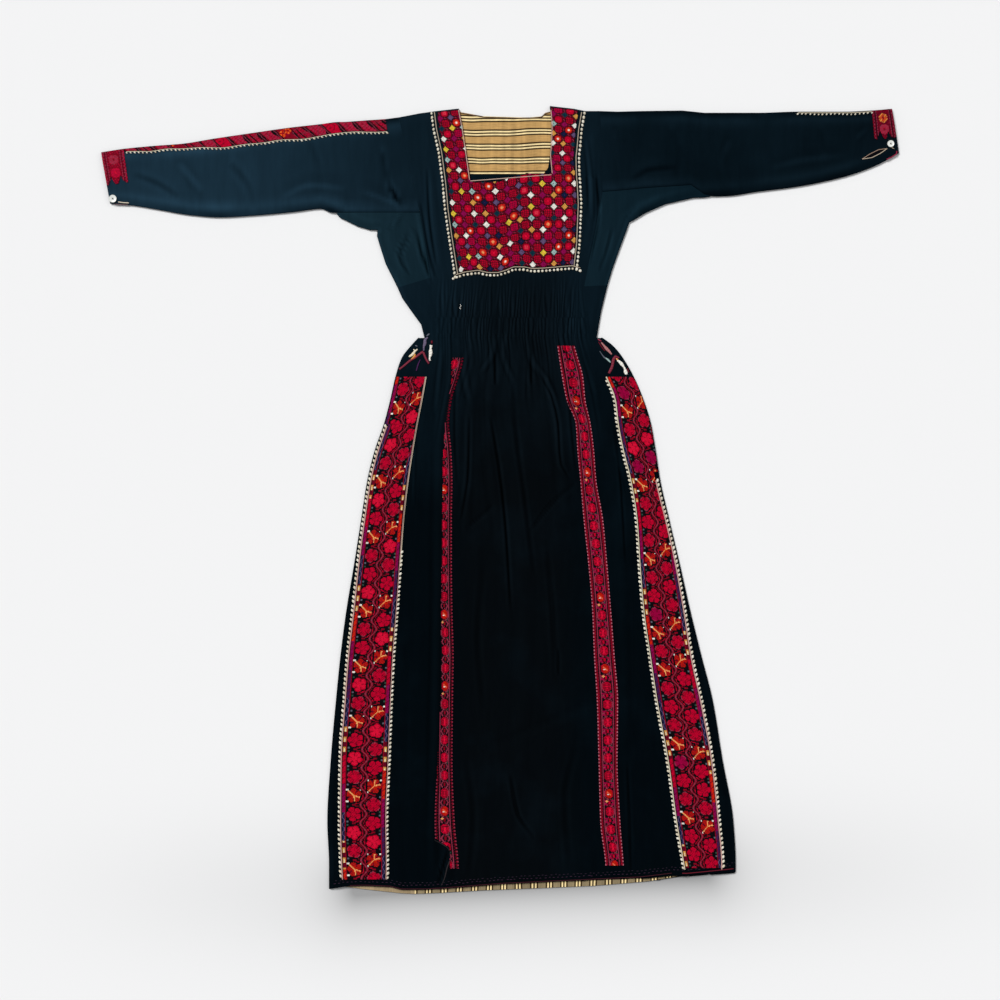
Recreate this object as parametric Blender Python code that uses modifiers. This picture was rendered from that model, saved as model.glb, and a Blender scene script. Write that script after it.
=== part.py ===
"""A Palestinian thobe laid flat on its back, cut and sewn from its real panels.

Lengths in the tables are millimetres. X runs to the wearer's left arm as seen from the front (picture
right), Y towards the neck, Z up. "Drop" is how far a place lies below the highest point of the shoulders.
"""
import math

import bmesh
import bpy

MM = 0.001

# ---- driving dimensions, millimetres ------------------------------------------------------------------
LENGTH = 1378.0         # highest shoulder point to the lowest point of the back hem
CLOTH = 1.4             # wall of the cotton sateen
HOLLOW = 2.2            # air between the back and the front where the dress lies flat
SEAM_GAP = 0.3          # between neighbouring pieces, and under what is sewn on
PATCH = 1.0             # thickness of the embroidered bands
BRAID_WIDTH = 4.6       # width of the cream braids
BRAID_HEIGHT = 1.8      # how far a braid stands up
FACING = 1.0            # thickness of the striped facings
BUTTON_RADIUS = 6.6
BUTTON_HEIGHT = 2.4
PIPING_RADIUS = 0.9
SHOULDER_TURN = 15.0    # how far the front bodice reaches over the shoulder onto the back

# ---- derived levels -----------------------------------------------------------------------------------
SHOULDER_Y = LENGTH / 2
FRONT_INSIDE = CLOTH + HOLLOW
FOLD_RADIUS = CLOTH + HOLLOW / 2
FOLD_INSIDE = HOLLOW / 2
FRONT_FACE = FRONT_INSIDE + CLOTH
FOLD_STEP = 45
SEWN_ON = CLOTH + SEAM_GAP

# ---- skirt: one row per section, x of each rail -----------------------------------------------------------
SKIRT_COLUMNS = ("drop", "edge_left", "braid_left", "lace_left", "seam_left", "narrow_left_out",
                 "narrow_left_in", "narrow_right_in", "narrow_right_out", "seam_right", "lace_right",
                 "braid_right", "edge_right")
SKIRT_SECTIONS = (
    (406, -143, -137, -123, -117, -85, -67, 98, 127, 158, 162, 171, 179),
    (420, -156, -151, -123, -116, -85, -65, 100, 130, 161, 166, 191, 198),
    (441, -172, -166, -124, -116, -85, -64, 103, 136, 166, 172, 206, 215),
    (474, -183, -178, -129, -121, -85, -72, 108, 145, 175, 184, 228, 234),
    (514, -192, -187, -136, -126, -90, -84, 116, 149, 191, 200, 246, 251),
    (556, -203, -198, -144, -131, -96, -89, 132, 158, 196, 205, 258, 264),
    (602, -219, -214, -152, -136, -99, -85, 135, 164, 203, 214, 267, 272),
    (654, -232, -227, -160, -140, -101, -83, 140, 168, 214, 227, 274, 280),
    (724, -243, -238, -168, -144, -101, -84, 146, 180, 226, 238, 291, 296),
    (800, -255, -248, -174, -147, -102, -84, 154, 187, 231, 243, 308, 314),
    (884, -269, -257, -180, -152, -103, -83, 161, 194, 233, 250, 323, 333),
    (961, -279, -266, -186, -158, -103, -81, 164, 200, 233, 261, 335, 352),
    (1040, -287, -272, -190, -161, -104, -82, 169, 206, 233, 273, 352, 372),
    (1143, -296, -279, -194, -166, -109, -83, 172, 205, 233, 292, 371, 389),
    (1251, -302, -280, -198, -170, -114, -79, 175, 210, 235, 307, 383, 408),
    (1327, -299, -278, -197, -170, -111, -72, 184, 216, 237, 320, 389, 412),
    (1360, -299, -276, -198, -170, -110, -71, 185, 218, 238, 326, 389, 412),
)
LAST_GATHERED_DROP = 602

# (x, drop) along the two hems, from the left corner to the right corner
FRONT_HEM = ((-299, 1369), (-272, 1364), (-234, 1363), (-191, 1365), (-172, 1370), (-128, 1370),
             (-74, 1366), (2, 1360), (91, 1356), (242, 1349), (301, 1342), (326, 1343), (412, 1335))
BACK_HEM = ((-299, 1369), (-274, 1365), (-243, 1369), (-208, 1373), (-172, 1377), (-149, 1378),
            (-102, 1376), (-35, 1372), (91, 1367), (163, 1364), (259, 1356), (324, 1345), (412, 1335))

# ---- bodice: rails as (drop, x), and lines across as (drop at the left seam, drop at the right seam) -----
SEAM_LEFT = ((20, -177), (187, -140), (301, -121), (406, -117))
SEAM_RIGHT = ((9, 175), (151, 179), (316, 147), (406, 158))
CHEST_LEFT = ((10, -120), (42, -116), (82, -107), (136, -100), (182, -96), (224, -90), (302, -78), (406, -85))
CHEST_RIGHT = ((8, 145), (42, 139), (89, 135), (136, 139), (172, 141), (242, 138), (295, 132), (406, 127))
NECK_LEFT = ((4, -72), (40, -65), (87, -58), (130, -52), (299, -35), (406, -42))
NECK_RIGHT = ((0, 87), (33, 90), (66, 89), (87, 87), (119, 90), (299, 91), (406, 90))
SHOULDER = ((-177, 20), (-140, 13), (-110, 9), (-74, 5), (87, 0), (129, 5), (149, 9), (175, 9))
BACK_NECK = ((-74, 10), (-57, 13), (-30, 18), (35, 20), (52, 20), (73, 18), (79, 12), (87, 10))
CHEST_LINES = ((48, 37), (92, 78), (136.8, 112.6), (187, 151), (243, 226), (294, 287), (301, 297))
NECK_LINE = 2           # the line in CHEST_LINES along the bottom of the neck
PANEL_LINE = 5          # the line along the bottom of the chest panel
BACK_LINES = ((187, 151), (301, 316), (406, 406))
WAIST_LINES = ((315, 316), (334, 334), (359, 359), (382, 382), (406, 406))

# ---- gathers and folds ----------------------------------------------------------------------------------
GATHER_HEIGHTS = ((301, 0.0), (316, 2.0), (334, 3.2), (441, 3.2), (474, 2.6), (514, 2.0), (556, 1.4), (602, 0.8))
# path as (x, drop), then width and height
FOLDS = (
    (((-101, 500), (-108, 602), (-111, 900), (-120, 1300)), 26, 4.5),
    (((-20, 430), (-22, 560), (3, 790)), 30, 4.5),
    (((-45, 450), (-56, 560), (-62, 760)), 26, 4.0),
    (((70, 450), (98, 560), (112, 720)), 30, 5.0),
    (((30, 640), (42, 900), (26, 1180)), 44, 4.0),
    (((-92, 1260), (-100, 1380)), 34, 5.0),
    (((204, 700), (212, 900), (216, 1150)), 30, 3.5),
    (((-128, 100), (-116, 200), (-101, 310)), 24, 3.0),
    (((160, 50), (160, 150), (150, 250)), 20, 2.5),
)

# ---- gussets: (x, drop) on the inner seam, then (x, drop) on the folded side edge ---------------------------
GUSSET_LEFT = (
    ((-282, 187), (-280, 194)), ((-248, 187), (-248, 211)), ((-215, 187), (-228, 217)),
    ((-175, 187), (-214, 217)), ((-140, 187), (-215, 228)), ((-133.3, 227), (-210, 245)),
    ((-126.6, 267), (-200, 276)), ((-121, 301), (-179, 318)),
)
GUSSET_RIGHT = (
    ((357, 155), (360, 161)), ((334, 139), (338, 160)), ((289, 142), (289, 172)), ((248, 145), (255, 187)),
    ((206, 149), (234, 200)), ((179, 151), (226, 204)), ((171.4, 190), (221, 219)), ((160.8, 245), (210, 248)),
    ((153, 285), (197, 284)), ((147, 316), (188, 314)),
)

# ---- side bodice: (x, drop) on the front seam, then (x, drop) on the folded side edge -----------------------
SIDE_LEFT = (
    ((-121, 301), (-179, 318)), ((-119.7, 334), (-171, 336)), ((-118.8, 359), (-154, 360)),
    ((-117.9, 382), (-138, 382)), ((-117, 406), (-132, 406)),
)
SIDE_RIGHT = (
    ((147, 316), (188, 314)), ((149.2, 334), (183, 334)), ((152.3, 359), (177, 359)),
    ((155.1, 382), (173, 382)), ((158, 406), (169, 406)),
)

# ---- sleeves: a row per section, cuff first ----------------------------------------------------------------
SLEEVE_COLUMNS = ("top_x", "top_drop", "low_x", "low_drop", "band", "turned")
SLEEVE_LEFT = (
    (-697, 81, -681, 171, 5.0, 1), (-658, 75, -644, 174, 5.0, 1), (-607, 70, -595, 182, 8.5, 1),
    (-555, 66, -542, 191, 9.1, 1), (-499, 57, -490, 195, 14.5, 1), (-438, 48, -432, 192, 19.0, 1),
    (-368, 38, -364, 186, 21.5, 1), (-315, 32, -313, 180, 20.1, 1), (-280, 28, -293, 186.5, 18.5, 0),
    (-271, 28, -284, 187, 18.0, 0),
    (-231, 25, -220, 187, 21.9, 0), (-200, 23, -178, 187, 21.9, 0), (-177, 20, -140, 187, 21.9, 0),
)
SLEEVE_RIGHT = (
    (685, 5, 697, 83, 7.4, 1), (649, 8, 658, 104, 7.4, 1), (604, 10, 609, 122, 7.4, 1),
    (560, 10, 564, 133, 7.4, 1), (520, 10, 522, 141, 7.4, 1), (452, 12, 452, 150, 7.4, 1),
    (388, 12, 390, 158, 7.4, 1), (364, 12, 366, 157, 7.4, 0), (357, 12, 357, 155, 7.4, 0), (318, 8, 334, 139, 7.4, 0),
    (245, 9, 248, 145, 7.4, 0), (206, 10, 206, 149, 7.4, 0), (175, 9, 179, 151, 7.4, 0),
)
CUFF_BAND_LEFT = 60.0   # how far down the cuffs their bands reach
CUFF_BAND_RIGHT = 52.0

# ---- small things: (x, drop) -------------------------------------------------------------------------------
BUTTON_LEFT = (-676, 163)
BUTTON_RIGHT = (682, 67)
SLIT_LEFT = ((-666.5, 168.5), (-658, 169.8), (-648, 170.3))
SLIT_RIGHT = ((632, 94), (645, 85.5), (661, 77.5), (676, 75.5), (664, 84), (649, 91.5), (632, 94))
NECK_FACING_LEFT = -90
NECK_FACING_RIGHT = ((5, 91), (77, 89), (108, 84), (119, 76))
NECK_FACING_DROPS = (30, 77, 108, 119)
HEM_FACING_ENDS = (-274, 324)
HEM_FACING_WIDTH = 24.0
HEM_FACING_COLUMNS = 14

NAVY = (0.007, 0.016, 0.026)
TEAL = (0.010, 0.024, 0.036)
CRIMSON = (0.42, 0.012, 0.045)
CREAM = (0.72, 0.64, 0.46)
TAN = (0.52, 0.34, 0.14)
PEARL = (0.82, 0.80, 0.74)


# ---- reading the tables ------------------------------------------------------------------------------------
def mix(a, b, share):
    return a + (b - a) * share


def read_off(points, at):
    """Value at `at` on the straight runs between (place, value) points."""
    if at <= points[0][0]:
        return points[0][1]
    for (a, value_a), (b, value_b) in zip(points, points[1:]):
        if at <= b:
            return mix(value_a, value_b, (at - a) / (b - a))
    return points[-1][1]


def spread(stops, counts):
    """Even steps between neighbouring stops, counts[i] of them from stop i to stop i + 1."""
    places = [stops[0]]
    for a, b, count in zip(stops, stops[1:], counts):
        places += [mix(a, b, step / count) for step in range(1, count + 1)]
    return places


def section(row):
    return dict(zip(SKIRT_COLUMNS, row))


def fold_height(x, drop):
    """How far the front stands up in its lengthwise folds."""
    height = 0.0
    for path, width, crest in FOLDS:
        start, end = path[0][1], path[-1][1]
        if not start < drop < end:
            continue
        middle = read_off([(d, px) for px, d in path], drop)
        across = abs(x - middle) / (width / 2)
        if across < 1:
            run = math.sin(math.pi * (drop - start) / (end - start)) ** 0.5
            height += crest * run * math.cos(across * math.pi / 2) ** 2
    return height


def gather_height(drop, column, last):
    """Crests on the odd columns, each a little different, and none against the side seams."""
    if column % 2 == 0 or column in (1, last - 1):
        return 0.0
    return read_off(GATHER_HEIGHTS, drop) * (0.82 + 0.18 * math.sin(1.7 * column))


def place(x, drop, z):
    return (x * MM, (SHOULDER_Y - drop) * MM, z * MM)


# ---- walls of cloth ----------------------------------------------------------------------------------------
def grid_rows(mesh, rows):
    """A grid of like sections, its points moved to `rows`. Returns its rows of vertices."""
    columns = len(rows[0])
    made = bmesh.ops.create_grid(mesh, x_segments=columns - 1, y_segments=len(rows) - 1, size=1)["verts"]
    made.sort(key=lambda vert: (round(vert.co.y, 5), round(vert.co.x, 5)))
    lines = [made[i * columns:(i + 1) * columns] for i in range(len(rows))]
    for line, points in zip(lines, rows):
        for vert, point in zip(line, points):
            vert.co = place(*point)
    return lines


def join_unlike(mesh, line, next_line):
    """Loft between two sections where one has twice the steps of the other."""
    fine, coarse = (line, next_line) if len(line) > len(next_line) else (next_line, line)
    for step in range(len(coarse) - 1):
        a, b, c = fine[2 * step:2 * step + 3]
        left, right = coarse[step:step + 2]
        for corners in ((a, b, left), (b, right, left), (b, c, right)):
            mesh.faces.new(corners)


def draw_back_edges(mesh, distance):
    """Pull every free edge back along the cloth, so neighbours lie a seam gap apart."""
    moves = {}
    for edge in mesh.edges:
        if not edge.is_boundary:
            continue
        face = edge.link_faces[0]
        along = (edge.verts[1].co - edge.verts[0].co).normalized()
        inward = face.normal.cross(along)
        if inward.dot(face.calc_center_median() - edge.verts[0].co) < 0:
            inward.negate()
        for vert in edge.verts:
            moves.setdefault(vert, []).append(inward)
    for vert, ways in moves.items():
        total = ways[0] + ways[-1]
        vert.co += total * (2 * distance / max(total.dot(total), 0.5))


def face_outward(mesh):
    """Turn the whole sheet so that its front half faces up."""
    mesh.normal_update()
    upper = sum(face.normal.z * face.calc_area() for face in mesh.faces
                if face.calc_center_median().z > FOLD_RADIUS * MM)
    lower = sum(face.normal.z * face.calc_area() for face in mesh.faces
                if face.calc_center_median().z <= FOLD_RADIUS * MM)
    if upper - lower < 0:
        bmesh.ops.reverse_faces(mesh, faces=mesh.faces[:])
        mesh.normal_update()


def cloth(name, runs, thickness, colour, roughness=0.6, keep=None, facing_up=False):
    """A wall of cloth over runs of sections; `keep(row, column)` says which cells stay."""
    mesh = bmesh.new()
    last = None
    for rows in runs:
        lines = grid_rows(mesh, rows)
        if last is not None:
            join_unlike(mesh, last, lines[0])
        last = lines[-1]
    if keep is not None:
        rows = runs[0]
        columns = len(rows[0]) - 1
        mesh.faces.ensure_lookup_table()
        grid = sorted(mesh.faces[:columns * (len(rows) - 1)],
                      key=lambda face: min(vert.index for vert in face.verts))
        cut = [face for order, face in enumerate(grid) if not keep(order // columns, order % columns)]
        bmesh.ops.delete(mesh, geom=cut, context="FACES")
    bmesh.ops.recalc_face_normals(mesh, faces=mesh.faces[:])
    if facing_up:
        mesh.normal_update()
        if sum(face.normal.z for face in mesh.faces) < 0:
            bmesh.ops.reverse_faces(mesh, faces=mesh.faces[:])
    else:
        face_outward(mesh)
    mesh.normal_update()
    draw_back_edges(mesh, SEAM_GAP / 2 * MM)
    data = bpy.data.meshes.new(name)
    mesh.to_mesh(data)
    mesh.free()
    piece = add_piece(name, data, colour, roughness)
    wall = piece.modifiers.new("wall", "SOLIDIFY")
    wall.thickness = thickness * MM
    wall.offset = 1
    return piece


def add_piece(name, data, colour, roughness):
    piece = bpy.data.objects.new(name, data)
    bpy.data.collections["palestinian_thobe"].objects.link(piece)
    finish(piece, colour, roughness)
    return piece


def finish(piece, colour, roughness):
    material = bpy.data.materials.new(piece.name)
    material.use_nodes = True
    shader = material.node_tree.nodes["Principled BSDF"]
    shader.inputs["Base Color"].default_value = (*colour, 1)
    shader.inputs["Roughness"].default_value = roughness
    shader.inputs["Metallic"].default_value = 0
    piece.data.materials.clear()
    piece.data.materials.append(material)


def raised(rows, height):
    return [[(x, drop, z + height) for x, drop, z in row] for row in rows]


def part_of(rows, first, last):
    return [row[first:last + 1] for row in rows]


def folded(edge, inner, angles):
    """Points on the inside of a folded side edge, at `angles` from its front to its back."""
    way = (inner[0] - edge[0], inner[1] - edge[1])
    size = math.hypot(*way)
    way = (way[0] / size, way[1] / size)
    points = []
    for angle in angles:
        turn = math.radians(angle)
        inset = FOLD_RADIUS - FOLD_INSIDE * math.sin(turn)
        points.append((edge[0] + way[0] * inset, edge[1] + way[1] * inset,
                       FOLD_RADIUS + FOLD_INSIDE * math.cos(turn)))
    return points


ROUND_FOLD = range(0, 181, FOLD_STEP)


# ---- bodice ------------------------------------------------------------------------------------------------
BODICE_RAILS = (SEAM_LEFT, CHEST_LEFT, NECK_LEFT, NECK_RIGHT, CHEST_RIGHT, SEAM_RIGHT)
BODICE_STEPS = (4, 5, 16, 5, 4)
BODICE_COUNT = sum(BODICE_STEPS)
FIRST_BORDER = BODICE_STEPS[0]
FIRST_NECK = BODICE_STEPS[0] + BODICE_STEPS[1]
LAST_NECK = FIRST_NECK + BODICE_STEPS[2]
LAST_BORDER = LAST_NECK + BODICE_STEPS[3]


def bodice_line(line, fineness):
    """One line across the bodice, with crests of gathers when it is fine."""
    counts = [count * fineness for count in BODICE_STEPS]
    total = BODICE_COUNT * fineness
    points = []
    for column in range(total + 1):
        drop = mix(line[0], line[1], column / total)
        x = spread([read_off(rail, drop) for rail in BODICE_RAILS], counts)[column]
        lift = gather_height(drop, column, total) if fineness > 1 else fold_height(x, drop)
        points.append((x, drop, FRONT_INSIDE + lift))
    return points


def shoulder_spot(column, inset):
    """A bodice column's (x, drop) at `inset` below the shoulder fold."""
    top = spread([rail[0][1] for rail in BODICE_RAILS], BODICE_STEPS)[column]
    drop = read_off(SHOULDER, top) + inset
    return spread([read_off(rail, drop) for rail in BODICE_RAILS], BODICE_STEPS)[column], drop


def shoulder_lines():
    """From the turned end on the back, round the shoulder fold, to the front."""
    columns = range(BODICE_COUNT + 1)
    lines = [[(*shoulder_spot(column, SHOULDER_TURN), CLOTH) for column in columns]]
    for angle in reversed(ROUND_FOLD):
        turn = math.radians(angle)
        inset = FOLD_RADIUS - FOLD_INSIDE * math.sin(turn)
        level = FOLD_RADIUS + FOLD_INSIDE * math.cos(turn)
        lines.append([(*shoulder_spot(column, inset), level) for column in columns])
    return lines


def make_bodice():
    over_shoulder = shoulder_lines()
    chest = [bodice_line(line, 1) for line in CHEST_LINES]
    waist = [bodice_line(line, 2) for line in WAIST_LINES]
    first_front = len(over_shoulder) - 1

    def outside_neck(row, column):
        return row >= first_front + 1 + NECK_LINE or not FIRST_NECK <= column < LAST_NECK

    cloth("front_bodice", (over_shoulder + chest, waist), CLOTH, NAVY, keep=outside_neck)

    front = raised([over_shoulder[-1]] + chest, SEWN_ON)
    panel_rows = part_of(front[:PANEL_LINE + 2], FIRST_BORDER + 1, LAST_BORDER - 1)
    neck_columns = range(FIRST_NECK - FIRST_BORDER - 1, LAST_NECK - FIRST_BORDER - 1)
    cloth("chest_panel", (panel_rows,), PATCH, CRIMSON, 0.8,
          keep=lambda row, column: row > NECK_LINE or column not in neck_columns, facing_up=True)

    braid_rows = part_of(front[:PANEL_LINE + 3], FIRST_BORDER, LAST_BORDER)
    border = LAST_BORDER - FIRST_BORDER
    cloth("chest_braid", (braid_rows,), BRAID_HEIGHT, CREAM, 0.7,
          keep=lambda row, column: row > PANEL_LINE or column in (0, border - 1), facing_up=True)

    make_back_bodice()
    make_neck_facing()


def make_back_bodice():
    top = []
    for column in range(BODICE_COUNT + 1):
        x, drop = shoulder_spot(column, SHOULDER_TURN)
        if FIRST_NECK < column < LAST_NECK:
            drop = read_off(BACK_NECK, x)
        top.append((x, drop, CLOTH))
    lines = [top]
    for line in BACK_LINES:
        lines.append([(x, drop, CLOTH) for x, drop, _ in bodice_line(line, 1)])
    cloth("back_bodice", (lines,), CLOTH, NAVY)


def make_neck_facing():
    level = CLOTH + SEAM_GAP
    steps = 12
    lines = []
    places = spread((NECK_FACING_LEFT, NECK_FACING_RIGHT[0][1]), (steps,))
    lines.append([(x, read_off(BACK_NECK, x), level) for x in places])
    for drop in NECK_FACING_DROPS:
        places = spread((NECK_FACING_LEFT, read_off(NECK_FACING_RIGHT, drop)), (steps,))
        lines.append([(x, drop, level) for x in places])
    cloth("neck_facing", (lines,), FACING, TAN, 0.75, facing_up=True)


# ---- skirt -------------------------------------------------------------------------------------------------
SKIRT_RAILS = ("seam_left", "narrow_left_out", "narrow_left_in", "narrow_right_in", "narrow_right_out",
               "seam_right")
SKIRT_STEPS = (4, 2, 20, 4, 4)


def skirt_line(row, fineness, hem=None):
    rails = section(row)
    places = spread([rails[rail] for rail in SKIRT_RAILS], [count * fineness for count in SKIRT_STEPS])
    points = []
    for column, x in enumerate(places):
        drop = read_off(hem, x) if hem else rails["drop"]
        lift = gather_height(drop, column, len(places) - 1) if fineness > 1 else 0.0
        points.append((x, drop, FRONT_INSIDE + lift + fold_height(x, drop)))
    return points


def narrow_band(name, gathered, smooth, first_rail, skip):
    """An embroidered band on the front skirt, made from the skirt's own points."""
    first = sum(SKIRT_STEPS[:first_rail])
    last = first + SKIRT_STEPS[first_rail]
    upper = raised(part_of(gathered[skip:], 2 * first, 2 * last), SEWN_ON)
    lower = raised(part_of(smooth[:-1], first, last), SEWN_ON)
    cloth(name, (upper, lower), PATCH, CRIMSON, 0.8, facing_up=True)


def make_skirt():
    gathered = [skirt_line(row, 2) for row in SKIRT_SECTIONS if row[0] <= LAST_GATHERED_DROP]
    smooth = [skirt_line(row, 1) for row in SKIRT_SECTIONS[:-1] if row[0] > LAST_GATHERED_DROP]
    smooth.append(skirt_line(SKIRT_SECTIONS[-1], 1, FRONT_HEM))
    cloth("skirt_front", (gathered, smooth), CLOTH, NAVY)
    narrow_band("narrow_band_left", gathered, smooth, first_rail=1, skip=2)
    narrow_band("narrow_band_right", gathered, smooth, first_rail=3, skip=1)

    back = []
    for row in SKIRT_SECTIONS:
        rails = section(row)
        places = spread((rails["seam_left"], rails["seam_right"]), (8,))
        last = row is SKIRT_SECTIONS[-1]
        back.append([(x, read_off(BACK_HEM, x) if last else rails["drop"], CLOTH) for x in places])
    cloth("skirt_back", (back,), CLOTH, NAVY)
    make_hem_facing()


def make_hem_facing():
    level = CLOTH + SEAM_GAP
    places = spread(HEM_FACING_ENDS, (HEM_FACING_COLUMNS,))
    lines = [[(x, read_off(BACK_HEM, x) - inset, level) for x in places]
             for inset in (HEM_FACING_WIDTH, 0.5)]
    cloth("hem_facing", (lines,), FACING, TAN, 0.75, facing_up=True)


def side_places(rails, side):
    """Rails across a side panel's front half, from its seam to where the side edge starts to turn."""
    outward = -1 if side == "left" else 1
    edge = rails["edge_" + side]
    half = BRAID_WIDTH / 2
    rim = edge - outward * (FOLD_RADIUS + SEAM_GAP)
    braid = rails["braid_" + side]
    if (rim - braid) * outward < half:
        braid = rim - outward * half
    lace = rails["lace_" + side]
    inner_braid = lace + outward * half
    outer_braid = braid - outward * half
    return [rails["seam_" + side], lace - outward * half, inner_braid, mix(inner_braid, outer_braid, 0.5),
            outer_braid, braid + outward * half]


def side_line(row, side, is_hem=False):
    rails = section(row)
    edge = rails["edge_" + side]
    seam = rails["seam_" + side]
    drop = rails["drop"]

    def at(hem, x):
        return read_off(hem, x) if is_hem else drop

    front = [(x, at(FRONT_HEM, x), FRONT_INSIDE) for x in side_places(rails, side)]
    turned = [(x, at(FRONT_HEM, edge), z) for x, _, z in folded((edge, drop), (seam, drop), ROUND_FOLD)]
    back_places = (mix(edge, seam, 0.5), seam)
    back = [(x, at(BACK_HEM, x), CLOTH) for x in back_places]
    return front + turned + back


def make_side(side, end_drop):
    """A side panel folded round the edge, with the wide band and its two braids on its front."""
    rows = [side_line(row, side) for row in SKIRT_SECTIONS[:-1]]
    cloth("side_panel_" + side, (rows + [side_line(SKIRT_SECTIONS[-1], side, True)],), CLOTH, NAVY)

    start = next(i for i, row in enumerate(SKIRT_SECTIONS) if row[0] >= 474)
    on_panel = raised(rows[start:], SEWN_ON)
    if end_drop > SKIRT_SECTIONS[-2][0]:
        ending = side_line((end_drop,) + SKIRT_SECTIONS[-1][1:], side)
        on_panel += raised([ending], SEWN_ON)
    cloth("wide_band_" + side, (part_of(on_panel, 2, 4),), PATCH, CRIMSON, 0.8, facing_up=True)
    cloth("wide_braid_inner_" + side, (part_of(on_panel, 1, 2),), BRAID_HEIGHT, CREAM, 0.7, facing_up=True)
    outer = on_panel[2:] if side == "left" else on_panel[3:]
    cloth("wide_braid_outer_" + side, (part_of(outer, 4, 5),), BRAID_HEIGHT, CREAM, 0.7, facing_up=True)


# ---- pieces folded round the sides of the bodice -----------------------------------------------------------
def wrapped(name, stations, colour):
    """Cloth from a seam on the front, round the folded side edge, to the same seam on the back."""
    rows = []
    for inner, edge in stations:
        turned = folded(edge, inner, ROUND_FOLD)
        tangent = turned[0]
        middle = (mix(inner[0], tangent[0], 0.5), mix(inner[1], tangent[1], 0.5))
        rows.append([(*inner, FRONT_INSIDE), (*middle, FRONT_INSIDE)] + turned
                    + [(*middle, CLOTH), (*inner, CLOTH)])
    cloth(name, (rows,), CLOTH, colour)


# ---- sleeves -----------------------------------------------------------------------------------------------
def sleeve_line(row, cuff_band):
    """Round one section of a sleeve, from its underside seam over the front and top to the back."""
    part = dict(zip(SLEEVE_COLUMNS, row))
    way = (part["low_x"] - part["top_x"], part["low_drop"] - part["top_drop"])
    width = math.hypot(*way)
    way = (way[0] / width, way[1] / width)

    def at(distance, z):
        return (part["top_x"] + way[0] * distance, part["top_drop"] + way[1] * distance, z)

    def underside(angle, level):
        if not part["turned"]:
            return at(width - FOLD_RADIUS * (1 - abs(math.sin(math.radians(angle)))), level)
        turn = math.radians(angle)
        return at(width - FOLD_RADIUS + FOLD_INSIDE * math.sin(turn), FOLD_RADIUS + FOLD_INSIDE * math.cos(turn))

    front = [underside(angle, FRONT_INSIDE) for angle in (90, 45, 0)]
    braid_end = part["band"] + BRAID_WIDTH
    for distance in (cuff_band, mix(cuff_band, braid_end, 0.5), braid_end, part["band"]):
        front.append(at(distance, FRONT_INSIDE))
    top = folded((part["top_x"], part["top_drop"]), (part["low_x"], part["low_drop"]), ROUND_FOLD)
    back = [at(width / 2, CLOTH)] + [underside(angle, CLOTH) for angle in (180, 135, 90)]
    return front + top + back


CUFF_BAND_COLUMN, BRAID_COLUMN, BAND_COLUMN, TOP_COLUMN = 3, 5, 6, 7


def make_sleeve(name, table, cuff_band):
    rows = [sleeve_line(row, cuff_band) for row in table]
    cloth(name, (rows,), CLOTH, NAVY)
    return raised(rows, SEWN_ON)


def make_left_sleeve():
    rows = make_sleeve("sleeve_left", SLEEVE_LEFT, CUFF_BAND_LEFT)
    cloth("cuff_band_left", (part_of(rows[:2], CUFF_BAND_COLUMN, TOP_COLUMN),), PATCH, CRIMSON, 0.8,
          facing_up=True)
    along = rows[1:-1]
    cloth("sleeve_band_left", (part_of(along, BAND_COLUMN, TOP_COLUMN),), PATCH, CRIMSON, 0.8, facing_up=True)
    cloth("sleeve_braid_left", (part_of(along, BRAID_COLUMN, BAND_COLUMN),), BRAID_HEIGHT, CREAM, 0.7,
          facing_up=True)


def make_right_sleeve():
    rows = make_sleeve("sleeve_right", SLEEVE_RIGHT, CUFF_BAND_RIGHT)
    cloth("cuff_band_right", (part_of(rows[:2], CUFF_BAND_COLUMN, TOP_COLUMN),), PATCH, CRIMSON, 0.8,
          facing_up=True)
    cloth("sleeve_braid_right", (part_of(rows[1:5], BAND_COLUMN, TOP_COLUMN),), BRAID_HEIGHT, CREAM, 0.7,
          facing_up=True)


# ---- buttons and piping ------------------------------------------------------------------------------------
def make_button(name, spot):
    level = FRONT_FACE + SEAM_GAP + BUTTON_HEIGHT / 2
    bpy.ops.mesh.primitive_cylinder_add(vertices=20, radius=BUTTON_RADIUS * MM, depth=BUTTON_HEIGHT * MM,
                                        location=place(*spot, level))
    button = bpy.context.object
    button.name = name
    for collection in button.users_collection:
        collection.objects.unlink(button)
    bpy.data.collections["palestinian_thobe"].objects.link(button)
    edge = button.modifiers.new("rounded", "BEVEL")
    edge.width = 0.6 * MM
    edge.segments = 2
    finish(button, PEARL, 0.3)


def make_piping(name, route, closed):
    curve = bpy.data.curves.new(name, "CURVE")
    curve.dimensions = "3D"
    curve.bevel_depth = PIPING_RADIUS * MM
    curve.bevel_resolution = 1
    curve.use_fill_caps = not closed
    points = route[:-1] if closed else route
    line = curve.splines.new("POLY")
    line.points.add(len(points) - 1)
    for point, spot in zip(line.points, points):
        point.co = (*place(*spot, FRONT_FACE + SEAM_GAP + PIPING_RADIUS), 1)
    line.use_cyclic_u = closed
    piece = add_piece(name, curve, CREAM, 0.7)
    if not closed:
        weld = piece.modifiers.new("caps", "WELD")
        weld.merge_threshold = 0.00005


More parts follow.
